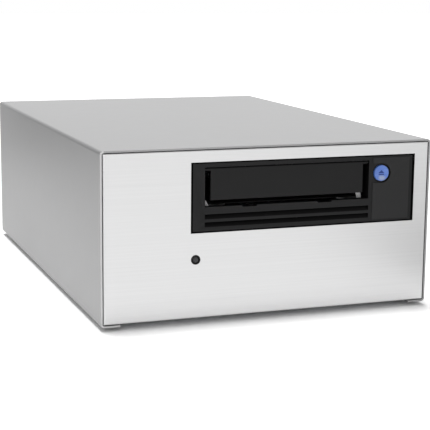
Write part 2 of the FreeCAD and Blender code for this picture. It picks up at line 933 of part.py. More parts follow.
def make_rear_panel():
    """Bend the rear panel, with cut-outs for the fan, the mains inlet, the switch and the ports."""
    piece = Piece("rear_panel")
    half = inner_half - s.rear_gap
    low = floor_top + s.rear_gap
    high = inner_top - s.rear_gap
    flange_half = half - s.sleeve_bend
    piece.pad("XZ", rear_front, 1, s.rear_sheet, rectangle(-half, low, half, high))
    piece.pad(
        "XZ", rear_front, -1, s.rear_flange,
        rectangle(-flange_half, high - s.rear_sheet, flange_half, high),
    )
    openings = [
        circle(fan_side, fan_level, s.fan_throat_radius),
        framed(mains, s.inlet_level, s.inlet_width, s.inlet_height),
        framed(mains, s.switch_level, s.switch_width, s.switch_height),
    ]
    for port in port_places():
        size = (s.port_width + 2 * s.port_gap, s.port_height + 2 * s.port_gap)
        openings.append(framed(port, s.port_level, *size))
    piece.pocket("XZ", rear_face, -1, s.rear_sheet, *openings)
    piece.pocket("XZ", rear_face, -1, s.rear_sheet, *tab_screw_holes(), *fan_holes(fan_side, fan_level))
    piece.finish(enclosure)


def framed(across, along, width, height):
    """Return a drawer for a rectangle given by its middle, width and height."""
    return rectangle(across - width / 2, along - height / 2, across + width / 2, along + height / 2)


def port_places():
    """Return where the two data ports stand: evenly between the mains inlet and the fan."""
    inlet_end = mains + s.inlet_width / 2 + s.inlet_rim
    middle = (inlet_end + fan_side - s.fan_size / 2) / 2
    return [middle + side * s.port_pitch / 2 for side in SIDES]


def fan_holes(across, along):
    """Return the drawers for the fan's four screw holes round a middle."""
    reach = s.fan_hole_spacing / 2
    return [screw_hole(across + side * reach, along + up * reach) for side in SIDES for up in SIDES]


def make_screws():
    """Drive the enclosure's screws: tray to front panel, rear panel, fan and sleeve."""
    front = []
    rear = []
    for side in SIDES:
        across = side * s.tab_screw_side
        place = (across, panel_back + s.tray_sheet, s.tab_screw_level)
        length = s.tray_sheet + s.panel_screw_reach
        front.append(screw(f"front_screw_{side}", place, -1, length, "Y"))
        place = (across, rear_face, s.tab_screw_level)
        rear.append(screw(f"rear_screw_{side}", place, -1, s.screw_length, "Y"))
    bundle("front_screws", front, enclosure)
    bundle("rear_screws", rear, enclosure)
    reach = s.fan_hole_spacing / 2
    fan = []
    cover = []
    for side in SIDES:
        for up in SIDES:
            place = (fan_side + side * reach, rear_face + s.guard_plate, fan_level + up * reach)
            fan.append(screw(f"fan_screw_{side}_{up}", place, -1, s.fan_screw_length, "Y"))
        for level in cover_screw_ends:
            place = (side * cover_screw_side, level, Size(0))
            cover.append(screw(f"cover_screw_{side}", place, 1, s.screw_length, "Z"))
    bundle("fan_screws", fan, enclosure)
    bundle("cover_screws", cover, enclosure)


def make_fan():
    """Make the fan: a square frame with a round throat, a bladed rotor and a finger guard."""
    place = (fan_side, front_y + rear_front, s.foot_height + fan_level)
    half = s.fan_size / 2
    frame = Piece("fan_frame")
    frame.pad("XZ", 0, -1, s.fan_depth, rectangle(-half, -half, half, half), *fan_holes(0, 0))
    frame.pocket("XZ", 0, -1, s.fan_depth, circle(0, 0, s.fan_throat_radius))
    corner = half - s.fan_corner
    for inner, outer in ((-half, s.fan_waist - half), (half - s.fan_waist, half)):
        frame.pocket(
            "XZ", -s.fan_plate, -1, s.fan_depth - 2 * s.fan_plate,
            rectangle(inner, -corner, outer, corner),
        )
    strut = s.fan_throat_radius + s.fan_strut_root
    width = s.fan_strut_width / 2
    stator = polygon(0, 0, s.stator_radius, HEAD_SIDES)
    frame.pad("XZ", -s.fan_depth, 1, s.stator_plate, stator)
    frame.pad("XZ", -s.fan_depth, 1, s.fan_strut, rectangle(-strut, -width, strut, width))
    frame.pad("XZ", -s.fan_depth, 1, s.fan_strut, rectangle(-width, -strut, width, strut))
    frame.pad("XZ", s.stator_plate - s.fan_depth, 1, s.stator_post, circle(0, 0, s.spindle_radius))
    frame.finish(place)

    rotor = Piece("fan_rotor")
    start = s.stator_plate - s.fan_depth + s.running_gap
    length = -s.rotor_end_gap - start
    rotor.pad("XZ", start, 1, length, circle(0, 0, s.rotor_hub_radius))
    bore = circle(0, 0, s.spindle_radius + s.spindle_play)
    rotor.pocket("XZ", start, 1, s.rotor_bore_depth, bore)
    reach = s.blade_reach
    rise = s.blade_rise
    sag = rise / 2 - s.blade_camber
    tip = chord(s.fan_throat_radius - s.blade_tip_gap, reach)
    low = -s.blade_start
    high = low + s.blade_sheet
    blade = rotor.pad(
        "XY", s.blade_root, 1, tip - s.blade_root,
        outline(
            (-reach, low), (0, low + sag), (reach, low + rise),
            (reach, high + rise), (0, high + sag), (-reach, high),
        ),
    )
    rotor.ring(blade, "Y", s.blade_count)
    rotor.finish(place)

    guard = Piece("fan_guard")
    guard.pad("XZ", 0, 1, s.guard_plate, clipped(-half, -half, half, half, s.guard_corner))
    pitch = s.guard_radius / (GUARD_ROWS + 1)
    height = pitch - s.guard_bar
    slots = []
    for row in range(-GUARD_ROWS, GUARD_ROWS + 1):
        bottom = row * pitch - height / 2
        reach = chord(s.guard_radius, abs(row) * pitch + height / 2)
        slots.append(rectangle(-reach, bottom, reach, bottom + height))
    guard.pocket("XZ", 0, 1, s.guard_plate, *slots, *fan_holes(0, 0))
    guard.finish((fan_side, front_y + rear_face, s.foot_height + fan_level))


def make_inlet():
    """Mould the mains inlet with its three blades."""
    half = s.inlet_width / 2 - s.cutout_gap
    rise = s.inlet_height / 2 - s.cutout_gap
    rim = s.inlet_rim
    piece = Piece("mains_inlet")
    piece.pad("XZ", 0, 1, s.inlet_flange, clipped(-half - rim, -rise - rim, half + rim, rise + rim, rim))
    piece.pad("XZ", 0, -1, s.inlet_depth, rectangle(-half, -rise, half, rise))
    inside = half - s.inlet_wall
    top = rise - s.inlet_wall
    bevel = s.inlet_bevel
    piece.pocket(
        "XZ", s.inlet_flange, -1, s.inlet_flange + s.inlet_depth - s.inlet_floor,
        outline(
            (-inside, -top), (inside, -top), (inside, top - bevel), (inside - bevel, top),
            (-inside + bevel, top), (-inside, top - bevel),
        ),
    )
    pins = (
        (-s.blade_pin_side, -s.blade_pin_drop), (s.blade_pin_side, -s.blade_pin_drop), (0, s.earth_pin_rise),
    )
    shapes = [framed(across, up, s.blade_pin_width, s.blade_pin_height) for across, up in pins]
    piece.pad("XZ", s.inlet_floor - s.inlet_depth, 1, s.blade_pin_length, *shapes)
    piece.finish((mains, front_y + rear_face, s.foot_height + s.inlet_level))


def make_switch():
    """Mould the rocker switch's frame and the rocker that tilts in it."""
    place = (mains, front_y + rear_face, s.foot_height + s.switch_level)
    half = s.switch_width / 2 - s.cutout_gap
    rise = s.switch_height / 2 - s.cutout_gap
    rim = s.switch_rim
    inside = half - s.switch_wall
    frame = Piece("rocker_frame")
    frame.pad("XZ", 0, 1, s.switch_flange, clipped(-half - rim, -rise - rim, half + rim, rise + rim, rim))
    frame.pad("XZ", 0, -1, s.switch_depth, rectangle(-half, -rise, half, rise))
    frame.pocket(
        "XZ", s.switch_flange, -1, s.switch_flange + s.switch_pocket,
        rectangle(-inside, s.switch_wall - rise, inside, rise - s.switch_wall),
    )
    bearing = polygon(-s.rocker_pivot, 0, s.rocker_pin + s.post_play, SCREW_SIDES)
    frame.pocket("YZ", -half, 1, 2 * half, bearing)
    frame.finish(place)

    rocker = Piece("rocker")
    reach = rise - s.switch_wall - s.rocker_end_gap
    cheek = inside - s.rocker_side_gap
    rocker.pad(
        "YZ", -cheek, 1, 2 * cheek,
        outline(
            (-s.rocker_back, -reach / 2), (-s.rocker_back, reach / 2), (-s.rocker_shoulder, reach),
            (s.rocker_nose, reach * 6 / 7), (s.rocker_valley, 0), (s.rocker_heel, -reach * 6 / 7),
            (-s.rocker_shoulder, -reach),
        ),
    )
    pin = half - s.rocker_pin_end
    pivot = polygon(-s.rocker_pivot, 0, s.rocker_pin, SCREW_SIDES)
    rocker.pad("YZ", -pin, 1, 2 * pin, pivot)
    rocker.finish(place)


def make_ports():
    """Make two shielded data sockets on their adapter board behind the rear panel."""
    half = s.port_width / 2
    rise = s.port_height / 2
    wall = s.port_wall
    tongue = half - s.tongue_side
    places = port_places()
    for name, across in zip(("left", "right"), places):
        piece = Piece(f"data_port_{name}")
        piece.pad("XZ", s.port_proud, -1, s.port_depth, rectangle(-half, -rise, half, rise))
        piece.pocket(
            "XZ", s.port_proud, -1, s.port_depth - s.port_floor,
            rectangle(wall - half, wall - rise, half - wall, rise - wall),
        )
        piece.pad(
            "XZ", s.port_proud + s.port_floor - s.port_depth, 1, s.tongue_length,
            rectangle(-tongue, -s.tongue_sheet / 2, tongue, s.tongue_sheet / 2),
        )
        piece.finish((across, front_y + rear_face, s.foot_height + s.port_level))
    board_top = s.port_level - rise
    board_low = board_top - s.port_board_sheet
    left = places[0] - half - s.port_board_side
    right = places[1] + half + s.port_board_side
    rear = rear_front - s.port_board_gap
    front = rear - s.port_board_length
    board = Piece("port_board")
    board.pad("XY", board_low, 1, s.port_board_sheet, rectangle(left, front, right, rear))
    pillars = [
        polygon(across, front + s.pillar_inset, s.pillar_radius, 6)
        for across in (left + s.pillar_inset, right - s.pillar_inset)
    ]
    board.pad("XY", floor_top, 1, board_low - floor_top, *pillars)
    board.finish(enclosure)


def make_supply():
    """Make the enclosed power supply with its vented cage and its terminal strip."""
    width = s.supply_width
    start = s.bracket_start + s.bracket_length + s.supply_gap
    length = s.sleeve_depth - s.supply_from_rear - start
    cage = length - s.terminal_length
    place = (mains - s.inlet_width / 2, front_y + start, s.foot_height + floor_top)
    case = Piece("power_supply")
    case.pad("XY", 0, 1, s.supply_height, rectangle(0, 0, width, cage))
    case.pad("XY", 0, 1, s.supply_sheet, rectangle(0, 0, width, length))
    first = s.supply_slot_end
    slot = case.pocket(
        "XY", s.supply_height, -1, s.supply_sheet,
        rectangle(s.supply_slot_side, first, width - s.supply_slot_side, first + s.supply_slot_width),
    )
    case.repeat(slot, "V_Axis", cage - 2 * first - s.supply_slot_width, s.supply_slot_count)
    case.finish(place)
    strip = Piece("supply_terminals")
    left = s.terminal_side
    wall = s.terminal_wall
    row = width - 2 * left - 2 * wall
    pitch = row / s.terminal_count
    strip.pad(
        "XY", s.supply_sheet, 1, s.terminal_height,
        rectangle(left, cage, width - left, length - s.terminal_gap),
    )
    gate = strip.pocket(
        "XY", s.supply_sheet + s.terminal_height, -1, s.terminal_gate_depth,
        rectangle(
            left + wall, cage + wall, left + wall + s.terminal_gate, cage + wall + s.terminal_gate_length,
        ),
    )
    strip.repeat(gate, "H_Axis", row - pitch, s.terminal_count)
    strip.finish(place)


def make_brackets():
    """Bend the two brackets that hold the drive above the tray, and their screws."""
    outer = drive_half + s.cover_sheet + s.side_gap
    sheet_size = s.bracket_sheet
    top = opening_low + s.side_hole_level + s.bracket_rise
    for name, side in zip(("left", "right"), SIDES):
        face = opening_centre + side * outer
        back = opening_centre + side * (outer + sheet_size)
        foot = opening_centre + side * (outer + s.bracket_flange)
        piece = Piece(f"drive_bracket_{name}")
        piece.pad(
            "XZ", s.bracket_start, 1, s.bracket_length,
            outline(
                (face, floor_top), (foot, floor_top), (foot, floor_top + sheet_size),
                (back, floor_top + sheet_size), (back, top), (face, top),
            ),
        )
        first = s.side_hole_first - s.panel_proud
        level = opening_low + s.side_hole_level
        holes = [screw_hole(along, level) for along in (first, first + s.side_hole_pitch)]
        window = clipped(
            s.bracket_start + s.bracket_window_end, floor_top + s.bracket_window_low,
            s.bracket_start + s.bracket_length - s.bracket_window_end,
            opening_low - s.bracket_window_high, s.bracket_window_corner,
        )
        start = face if side > 0 else back
        piece.pocket("YZ", start, 1, sheet_size, window, *holes)
        piece.finish(enclosure)
        screws = []
        for step in range(2):
            along = s.side_hole_first + step * s.side_hole_pitch
            place = (side * (outer + sheet_size), along, s.side_hole_level)
            screws.append(screw(f"side_screw_{name}_{step}", place, -side, s.side_screw_length, "X"))
        bundle(f"drive_screws_{name}", screws, drive)


def make_bezel():
    """Mould the drive's front bezel: slot with sill and notches, louvres and button boss."""
    half = s.opening_width / 2 - s.bezel_side_gap
    low = s.bezel_gap
    high = s.opening_height - s.bezel_gap
    left = slot_right - s.slot_width
    wall = s.slot_wall
    edge = s.bezel_wall
    piece = Piece("bezel")
    piece.pad("XZ", s.bezel_step, 1, s.bezel_depth - s.bezel_step, rectangle(-half, low, half, high))
    piece.chamfer(s.bezel_edge, flat_edges("Y", s.bezel_step))
    ring = s.button_radius + s.button_ring
    recess_low = s.button_level - ring
    recess_high = s.button_level + ring
    piece.pad(
        "XZ", s.bezel_step, -1, s.bezel_step,
        outline(
            (raised_left, s.raised_bottom), (raised_right, s.raised_bottom), (raised_right, raised_top),
            (raised_left, raised_top), (raised_left, recess_high), (button_side, recess_high),
            (button_side, recess_low), (raised_left, recess_low),
        ),
    )
    piece.pocket(
        "XZ", s.bezel_depth, -1, s.bezel_depth - s.bezel_front,
        rectangle(-half + edge, low + edge, half - edge, high - s.bezel_top_wall),
        rectangle(left - wall, s.slot_bottom - wall, slot_right + wall, s.slot_top + s.slot_roof),
    )
    bore = s.button_radius + s.button_play
    root = s.bezel_front - s.button_boss_root
    piece.pad(
        "XZ", root, 1, s.bezel_depth - root, circle(button_side, s.button_level, bore + s.button_boss),
    )
    piece.pocket(
        "XZ", 0, 1, s.bezel_depth,
        rectangle(left, s.slot_bottom, slot_right, s.slot_top),
        circle(button_side, s.button_level, bore),
    )
    piece.pocket("XZ", 0, 1, s.button_ring_depth, circle(button_side, s.button_level, ring))
    relief = s.sill_relief
    piece.pocket(
        "XZ", s.bezel_depth, -1, s.bezel_depth - s.sill_depth,
        rectangle(left + relief, s.slot_bottom - wall - relief, slot_right - relief, s.slot_bottom + relief),
    )
    for level in (s.louvre_low, s.louvre_high):
        piece.pocket(
            "YZ", left, 1, s.slot_width + s.louvre_end,
            outline(
                (s.bezel_step, level), (s.bezel_step + s.louvre_depth, level + s.louvre_height),
                (s.bezel_step, level + s.louvre_height),
            ),
        )
    for side in SIDES:
        centre = slot_centre - s.notch_shift + side * s.notch_side
        reach = s.notch_width / 2
        slope = s.notch_slope
        top = s.slot_bottom + relief
        piece.pocket(
            "XZ", 0, 1, s.sill_depth,
            outline(
                (centre - reach, top), (centre - reach + slope, s.slot_bottom - s.notch_depth),
                (centre + reach - slope, s.slot_bottom - s.notch_depth), (centre + reach, top),
            ),
        )
    pivot = circle(s.hinge_inset, s.hinge_level, s.pin_radius + s.pin_play)
    piece.pocket("YZ", left - wall, 1, s.slot_width + 2 * wall, pivot)
    piece.finish(drive)


def make_door():
    """Mould the cartridge door with its hinge barrel, and cut its steel pin."""
    piece = Piece("door")
    half = s.slot_width / 2 - s.door_side_gap
    barrel = s.slot_width / 2 - s.hinge_end_gap
    piece.pad(
        "YZ", -half, 1, 2 * half,
        rectangle(s.door_setback, s.door_bottom, s.door_setback + s.door_sheet, s.hinge_level),
    )
    piece.fillet(s.door_edge, lambda edge: edge.BoundBox.ZMax < s.door_bottom.number + 1e-4)
    piece.pad("YZ", -barrel, 1, 2 * barrel, circle(s.hinge_inset, s.hinge_level, s.hinge_radius))
    piece.pocket("YZ", -barrel, 1, 2 * barrel, circle(s.hinge_inset, s.hinge_level, s.pin_radius))
    piece.finish(bay)
    reach = s.slot_width / 2 + s.slot_wall - s.pin_end_gap
    place = (bay[0] - reach, bay[1] + s.hinge_inset, bay[2] + s.hinge_level)
    pin = rod("door_pin", place, s.pin_radius, 2 * reach, "X")
    register(pin, "door_pin", place)


def make_button():
    """Turn the eject button, its switch and the small board that carries the switch."""
    place = (drive[0] + button_side, drive[1], drive[2] + s.button_level)
    button = Piece("eject_button")
    button.pad("XZ", -s.button_proud, 1, s.button_length, circle(0, 0, s.button_radius))
    button.chamfer(s.button_edge, flat_edges("Y", -s.button_proud))
    button.finish(place)
    back = s.button_length - s.button_proud
    tip = back + s.button_travel + s.plunger_gap
    switch = Piece("eject_switch")
    half = s.switch_body / 2
    front = s.bezel_depth - s.switch_body_depth
    switch.pad("XZ", front, 1, s.switch_body_depth, rectangle(-half, -half, half, half))
    switch.pad("XZ", tip, 1, front - tip, polygon(0, 0, s.plunger_radius, SCREW_SIDES))
    switch.finish(place)
    board = Piece("front_board")
    board.pad(
        "XZ", s.bezel_depth, 1, s.board_sheet,
        rectangle(
            raised_left, deck_top, raised_right - s.front_board_side,
            raised_top - s.front_board_side,
        ),
    )
    board.finish(drive)


def make_drive_base():
    """Cast the drive's base: side walls, a deck between them and posts for the mechanism."""
    piece = Piece("drive_base")
    half = drive_half
    wall = s.drive_wall
    inside = half - wall
    piece.pad(
        "XZ", s.bezel_depth, 1, s.drive_length - s.bezel_depth,
        outline(
            (-half, s.drive_bottom), (-inside, s.drive_bottom), (-inside, s.deck_level),
            (inside, s.deck_level), (inside, s.drive_bottom), (half, s.drive_bottom),
            (half, drive_top), (inside, drive_top), (inside, deck_top),
            (-inside, deck_top), (-inside, drive_top), (-half, drive_top),
        ),
    )
    piece.pad("XZ", s.drive_length, -1, wall, rectangle(-half, s.deck_level, half, drive_top))
    left = s.deck_notch_left
    right = left + s.deck_notch_width
    piece.pocket(
        "XY", s.deck_level, 1, s.deck_sheet,
        rectangle(left, s.drive_length - s.deck_notch_length, right, s.drive_length - wall),
        rectangle(
            s.deck_window_side, s.deck_window_start, s.deck_window_side + s.deck_window_width,
            s.deck_window_start + s.deck_window_length,
        ),
    )
    mouth_top = deck_top + s.deck_notch_rise
    piece.pocket("XZ", s.drive_length, -1, wall, rectangle(left, s.deck_level, right, mouth_top))
    holes = [
        screw_hole(s.side_hole_first + step * s.side_hole_pitch, s.side_hole_level) for step in range(2)
    ]
    piece.pocket("YZ", -half, 1, 2 * half, *holes)
    standoff = s.main_board_level + s.board_sheet
    places = (
        (-s.standoff_side, s.standoff_first), (s.standoff_side, s.standoff_middle),
        (-s.standoff_side, s.standoff_rear),
    )
    shapes = [polygon(*place, s.standoff_radius, 6) for place in places]
    piece.pad("XY", standoff, 1, s.deck_level - standoff, *shapes)
    for place in roller_places:
        add_post(piece, place, s.roller_level, s.roller_height)
    add_post(piece, (arm_pivot, s.arm_pivot_centre), s.arm_level, s.arm_sheet)
    piece.finish(drive)


def add_post(piece, place, level, height):
    """Raise a boss from the deck to just under a turning piece, and a post through the piece."""
    boss = level - s.running_gap - deck_top
    post = level + height + s.post_end - deck_top
    piece.pad("XY", deck_top, 1, boss, polygon(*place, s.boss_radius, 6))
    piece.pad("XY", deck_top, 1, post, polygon(*place, s.post_radius, HEAD_SIDES))


def make_drive_covers():
    """Bend the drive's top cover and its flat bottom cover."""
    half = drive_half
    wall = s.cover_sheet
    top = drive_top + wall
    skirt = drive_top - s.cover_skirt
    start = s.bezel_depth + s.cover_gap
    cover = Piece("drive_cover")
    cover.pad(
        "XZ", start, 1, s.drive_length - start,
        outline(
            (-half - wall, skirt), (-half, skirt), (-half, drive_top), (half, drive_top),
            (half, skirt), (half + wall, skirt), (half + wall, top), (-half - wall, top),
        ),
    )
    cover.finish(drive)
    bottom = Piece("drive_bottom")
    bottom.pad(
        "XY", s.drive_bottom, -1, wall,
        rectangle(-half, s.bezel_depth + s.bottom_inset, half, s.drive_length - s.bottom_end_gap),
    )
    reach = s.bottom_slot_reach
    first = s.bottom_slot_start
    slot = bottom.pocket(
        "XY", s.drive_bottom, -1, wall, rectangle(-reach, first, reach, first + s.bottom_slot_width),
    )
    length = s.bottom_slot_pitch * (s.bottom_slot_count - 1)
    bottom.repeat(slot, "V_Axis", length, s.bottom_slot_count)
    bottom.finish(drive)


def make_main_board():
    """Make the board under the deck with its chips, and the connector at its rear edge."""
    level = s.main_board_level
    half = drive_half - s.drive_wall - s.main_board_gap
    start = s.main_board_start
    end = s.drive_length - s.main_board_end
    length = end - start
    piece = Piece("main_board")
    piece.pad("XY", level, 1, s.board_sheet, rectangle(-half, start, half, end))
    chips = []
    for across, along, size in (
        (-0.25, 0.31, s.chip_large), (0.5, 0.35, s.chip_large), (-0.4, 0.72, s.chip_small),
        (0.24, 0.66, s.chip_small), (0.78, 0.66, s.chip_small),
    ):
        chips.append(framed(half * across, start + length * along, size, size))
    piece.pad("XY", level, -1, s.chip_height, *chips)
    piece.finish(drive)
    plug = Piece("drive_connector")
    low = level + s.board_sheet
    left = s.plug_left
    right = left + s.plug_width
    rear = s.drive_length
    mouth_low = low + s.plug_wall
    tongue_low = mouth_low + s.plug_wall
    plug.pad("XY", low, 1, s.plug_height, rectangle(left, rear - s.plug_depth, right, rear))
    plug.pocket(
        "XZ", rear, -1, s.plug_mouth,
        rectangle(
            left + s.plug_side_wall, mouth_low, right - s.plug_side_wall, low + s.plug_height - s.plug_wall,
        ),
    )
    plug.pad(
        "XZ", rear - s.plug_mouth, 1, s.plug_tongue_length,
        rectangle(
            left + s.plug_tongue_side, tongue_low, right - s.plug_tongue_side, tongue_low + s.plug_tongue,
        ),
    )
    plug.finish(drive)


def make_carriage():
    """Bend the cartridge carriage: floor with a hub window, side walls, front tabs and top lips."""
    piece = Piece("carriage")
    half = carriage_half
    wall = s.carriage_sheet
    outer = half + wall
    low = s.carriage_floor
    high = s.carriage_top
    lip = half - s.carriage_lip
    start = s.carriage_start
    piece.pad(
        "XZ", start, 1, s.carriage_end - start,
        outline(
            (-outer, low), (outer, low), (outer, high), (lip, high), (lip, high - wall),
            (half, high - wall), (half, low + wall), (-half, low + wall), (-half, high - wall),
            (-lip, high - wall), (-lip, high), (-outer, high),
        ),
    )
    tab_top = low + s.carriage_tab
    tab_end = start + s.carriage_tab_length
    post = start + s.carriage_post
    swing = s.hinge_inset + s.hinge_level - s.door_bottom + s.door_swing_gap
    brow = high - wall - s.carriage_brow_gap
    piece.pocket(
        "YZ", -outer, 1, 2 * outer,
        outline(
            (start, low + wall), (start + s.carriage_tab_lean, tab_top), (tab_end, tab_top),
            (post, high - s.carriage_brow), (swing, brow), (swing, high), (start, high),
        ),
    )
    window = s.hub_window_width / 2
    first = s.hub_window_start
    throat = half - s.throat_inset
    bevel = s.throat_bevel
    piece.pocket(
        "XY", low, 1, wall,
        clipped(-window, first, window, first + s.hub_window_length, s.hub_window_corner),
        outline(
            (-throat, start), (throat, start), (throat - bevel, start + s.throat_depth),
            (bevel - throat, start + s.throat_depth),
        ),
    )
    piece.finish(bay)
    pins = []
    reach = s.slide_gap + s.slide_sheet + s.slide_pin_reach
    for side in SIDES:
        for along in slide_pins:
            begin = outer if side > 0 else -outer - reach
            place = (begin, along, low + s.slide_pin_rise)
            name = f"slide_pin_{side}"
            pins.append(rod(name, place, s.slide_pin_radius, reach, "X", SCREW_SIDES))
    bundle("carriage_pins", pins, bay)


def make_slides():
    """Make the loader frame: two side plates with lift slots, joined by a rear bar."""
    piece = Piece("loader_frame")
    start = s.slide_start
    rear = s.carriage_end + s.slide_end_gap
    low = s.carriage_floor - s.load_drop + s.running_gap
    high = s.carriage_top
    waist = low + s.slide_height
    horn = rear - s.slide_horn
    profile = outline(
        (start, low), (rear, low), (rear, high), (horn, high), (horn, waist),
        (start + s.slide_nose, waist), (start, waist - s.slide_nose_drop),
    )
    piece.pad("YZ", slide_inside, 1, s.slide_sheet, profile)
    piece.pad("YZ", -slide_outside, 1, s.slide_sheet, profile)
    piece.pad(
        "XZ", rear, -1, s.slide_bar_sheet,
        rectangle(-slide_outside, high - s.slide_bar, slide_outside, high),
    )
    slot = s.slide_pin_radius + s.slide_slot_gap
    middle = s.carriage_floor + s.slide_pin_rise
    openings = [
        clipped(along - slot, middle - s.load_drop - slot, along + slot, middle + slot, slot / 2)
        for along in slide_pins
    ]
    piece.pocket("YZ", -slide_outside, 1, 2 * slide_outside, *openings)
    piece.finish(bay)


def make_supply_spindle():
    """Make the supply motor and the toothed clutch that grips the cartridge's hub."""
    place = (bay[0], bay[1] + s.clutch_centre, bay[2] + deck_top)
    top = s.supply_motor_height
    motor = Piece("supply_motor")
    add_motor(motor, s.supply_motor_width, top, top + s.clutch_height + s.spindle_end)
    motor.finish(place)
    clutch = Piece("supply_clutch")
    base = top + s.running_gap
    disc = s.clutch_height - s.clutch_tooth
    clutch.pad(
        "XY", base, 1, disc, circle(0, 0, s.clutch_radius), circle(0, 0, s.spindle_radius + s.spindle_play),
    )
    outer = s.clutch_radius - s.clutch_tooth_inset
    inner = outer - s.clutch_tooth_length
    tooth = clutch.pad(
        "XY", base + disc, 1, s.clutch_tooth,
        outline(
            (inner, -s.clutch_tooth_root), (outer, -s.clutch_tooth_tip), (outer, s.clutch_tooth_tip),
            (inner, s.clutch_tooth_root),
        ),
    )
    clutch.ring(tooth, "Z", s.clutch_tooth_count)
    clutch.finish(place)


def add_motor(piece, width, height, shaft_top):
    """Build a flat square motor with cut corners and its fixed shaft."""
    half = width / 2
    piece.pad("XY", 0, 1, height, clipped(-half, -half, half, half, width * s.motor_corner))
    piece.pad("XY", 0, 1, shaft_top, circle(0, 0, s.spindle_radius))


def make_take_up_reel():
    """Make the take-up reel with its leader slot, on its flat motor."""
    place = (bay[0], bay[1] + s.reel_centre, bay[2] + deck_top)
    motor = Piece("reel_motor")
    base = s.reel_motor_height + s.running_gap
    top = base + s.reel_height
    add_motor(motor, s.reel_motor_width, s.reel_motor_height, top + s.spindle_end)
    motor.finish(place)
    reel = Piece("take_up_reel")
    hub = s.reel_hub_radius
    rim = s.reel_radius
    bore = s.spindle_radius + s.spindle_play
    flange = s.reel_flange
    reel.revolve(
        "XZ",
        outline(
            (bore, base), (rim, base), (rim, base + flange), (hub, base + flange),
            (hub, top - flange), (rim, top - flange), (rim, top), (bore, top),
        ),
    )
    start = s.leader_slot_start
    half = s.leader_slot_half
    flare = s.leader_slot_flare
    mouth = hub - s.leader_slot_taper
    reel.pocket(
        "XY", top, -1, s.reel_height - flange,
        outline((start, -half), (mouth, -half), (hub, -flare), (hub, flare), (mouth, half), (start, half)),
    )
    window = reel.pocket(
        "XY", top, -1, flange,
        outline(
            (s.reel_window_inner, -s.reel_window_half), (s.reel_window_outer, -s.reel_window_half),
            (s.reel_window_outer, s.reel_window_half), (s.reel_window_inner, s.reel_window_half),
        ),
    )
    reel.ring(window, "Z", s.reel_window_count)
    reel.finish(place)


def make_tape_path():
    """Make the guide rollers, and the head with its rails and their foot."""
    for number_in_row, (across, along) in enumerate(roller_places, start=1):
        roller = Piece(f"guide_roller_{number_in_row}")
        roller.pad(
            "XY", 0, 1, s.roller_height, polygon(0, 0, s.roller_radius, 2 * SCREW_SIDES),
            polygon(0, 0, s.post_radius + s.post_play, HEAD_SIDES),
        )
        roller.finish((drive[0] + across, drive[1] + along, drive[2] + s.roller_level))
    place = (drive[0] + path_left, drive[1] + s.head_centre, drive[2])
    half = s.head_length / 2
    rails = (-s.rail_half_pitch, s.rail_half_pitch)
    base = Piece("head_base")
    base.pad(
        "XY", deck_top, 1, s.head_base_sheet,
        rectangle(-s.head_back - s.head_base_side, -half, s.head_face, half),
    )
    posts = [polygon(-s.rail_side, along, s.rail_radius, HEAD_SIDES) for along in rails]
    base.pad("XY", deck_top, 1, drive_top - s.rail_top_gap - deck_top, *posts)
    base.finish(place)
    head = Piece("tape_head")
    face = s.head_face
    nose = s.head_nose
    groove = s.head_groove_half
    bore = s.rail_radius + s.spindle_play
    bores = [polygon(-s.rail_side, along, bore, HEAD_SIDES) for along in rails]
    head.pad(
        "XY", s.head_level, 1, s.head_height,
        outline(
            (-s.head_back, -half), (0, -half), (face, -nose), (face, -groove),
            (face - s.head_groove, 0), (face, groove), (face, nose), (0, half), (-s.head_back, half),
        ),
        *bores,
    )
    head.finish(place)


def make_threader():
    """Cut the threading arm that swings the tape's leader from the cartridge to the reel."""
    half = s.arm_width / 2
    waist = half - s.arm_waist
    length = s.arm_length
    arm = Piece("threader_arm")
    arm.pad(
        "XY", 0, 1, s.arm_sheet,
        outline(
            (-half, half), (-half, -s.arm_root), (-waist, s.arm_end - length), (-half, -length - half),
            (half, -length - half), (waist, s.arm_end - length), (half, -s.arm_root), (half, half),
        ),
        polygon(0, 0, s.post_radius + s.post_play, HEAD_SIDES),
    )
    arm.pad("XY", 0, -1, s.arm_finger, circle(0, -length, s.arm_finger_radius))
    arm.finish((drive[0] + arm_pivot, drive[1] + s.arm_pivot_centre, drive[2] + s.arm_level))


def make_loader_motor():
    """Make the loading motor with its gearbox beside the carriage."""
    left = slot_centre + slide_outside + s.motor_gap
    middle = left + s.gearbox_width / 2
    end = s.gearbox_start + s.gearbox_length
    motor = Piece("loader_motor")
    motor.pad(
        "XZ", s.gearbox_start, 1, s.gearbox_length,
        rectangle(left, deck_top, left + s.gearbox_width, deck_top + s.gearbox_height),
    )
    motor.pad("XZ", end, 1, s.motor_length, circle(middle, deck_top + s.motor_radius, s.motor_radius))
    motor.finish(drive)


make_sleeve()
make_tray()
make_feet()
make_front_panel()
make_power_light()
make_rear_panel()
make_screws()
make_fan()
make_inlet()
make_switch()
make_ports()
make_supply()
make_brackets()
make_bezel()
make_door()
make_button()
make_drive_base()
make_drive_covers()
make_main_board()
make_carriage()
make_slides()
make_supply_spindle()
make_take_up_reel()
make_tape_path()
make_threader()
make_loader_motor()
doc.recompute()

for item in doc.Objects:
    if "Invalid" in item.State or "Error" in item.State:
        raise ValueError(f"{item.Name} did not build: {item.State}")
for node in NODES:
    if node.Shape.isNull() or not node.Shape.isValid():
        raise ValueError(f"{node.Label} has no valid shape")

os.makedirs("parts", exist_ok=True)
for node in NODES:
    node.Shape.exportStep(f"parts/{node.Label}.step")
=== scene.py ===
"""Looks of a desktop data tape drive: a half-height drive in a bent aluminium enclosure."""

import json
import logging
import math
from dataclasses import dataclass, field
from enum import Enum
from typing import Callable, Iterable, Sequence

import bmesh
import bpy
from mathutils import Matrix, Vector


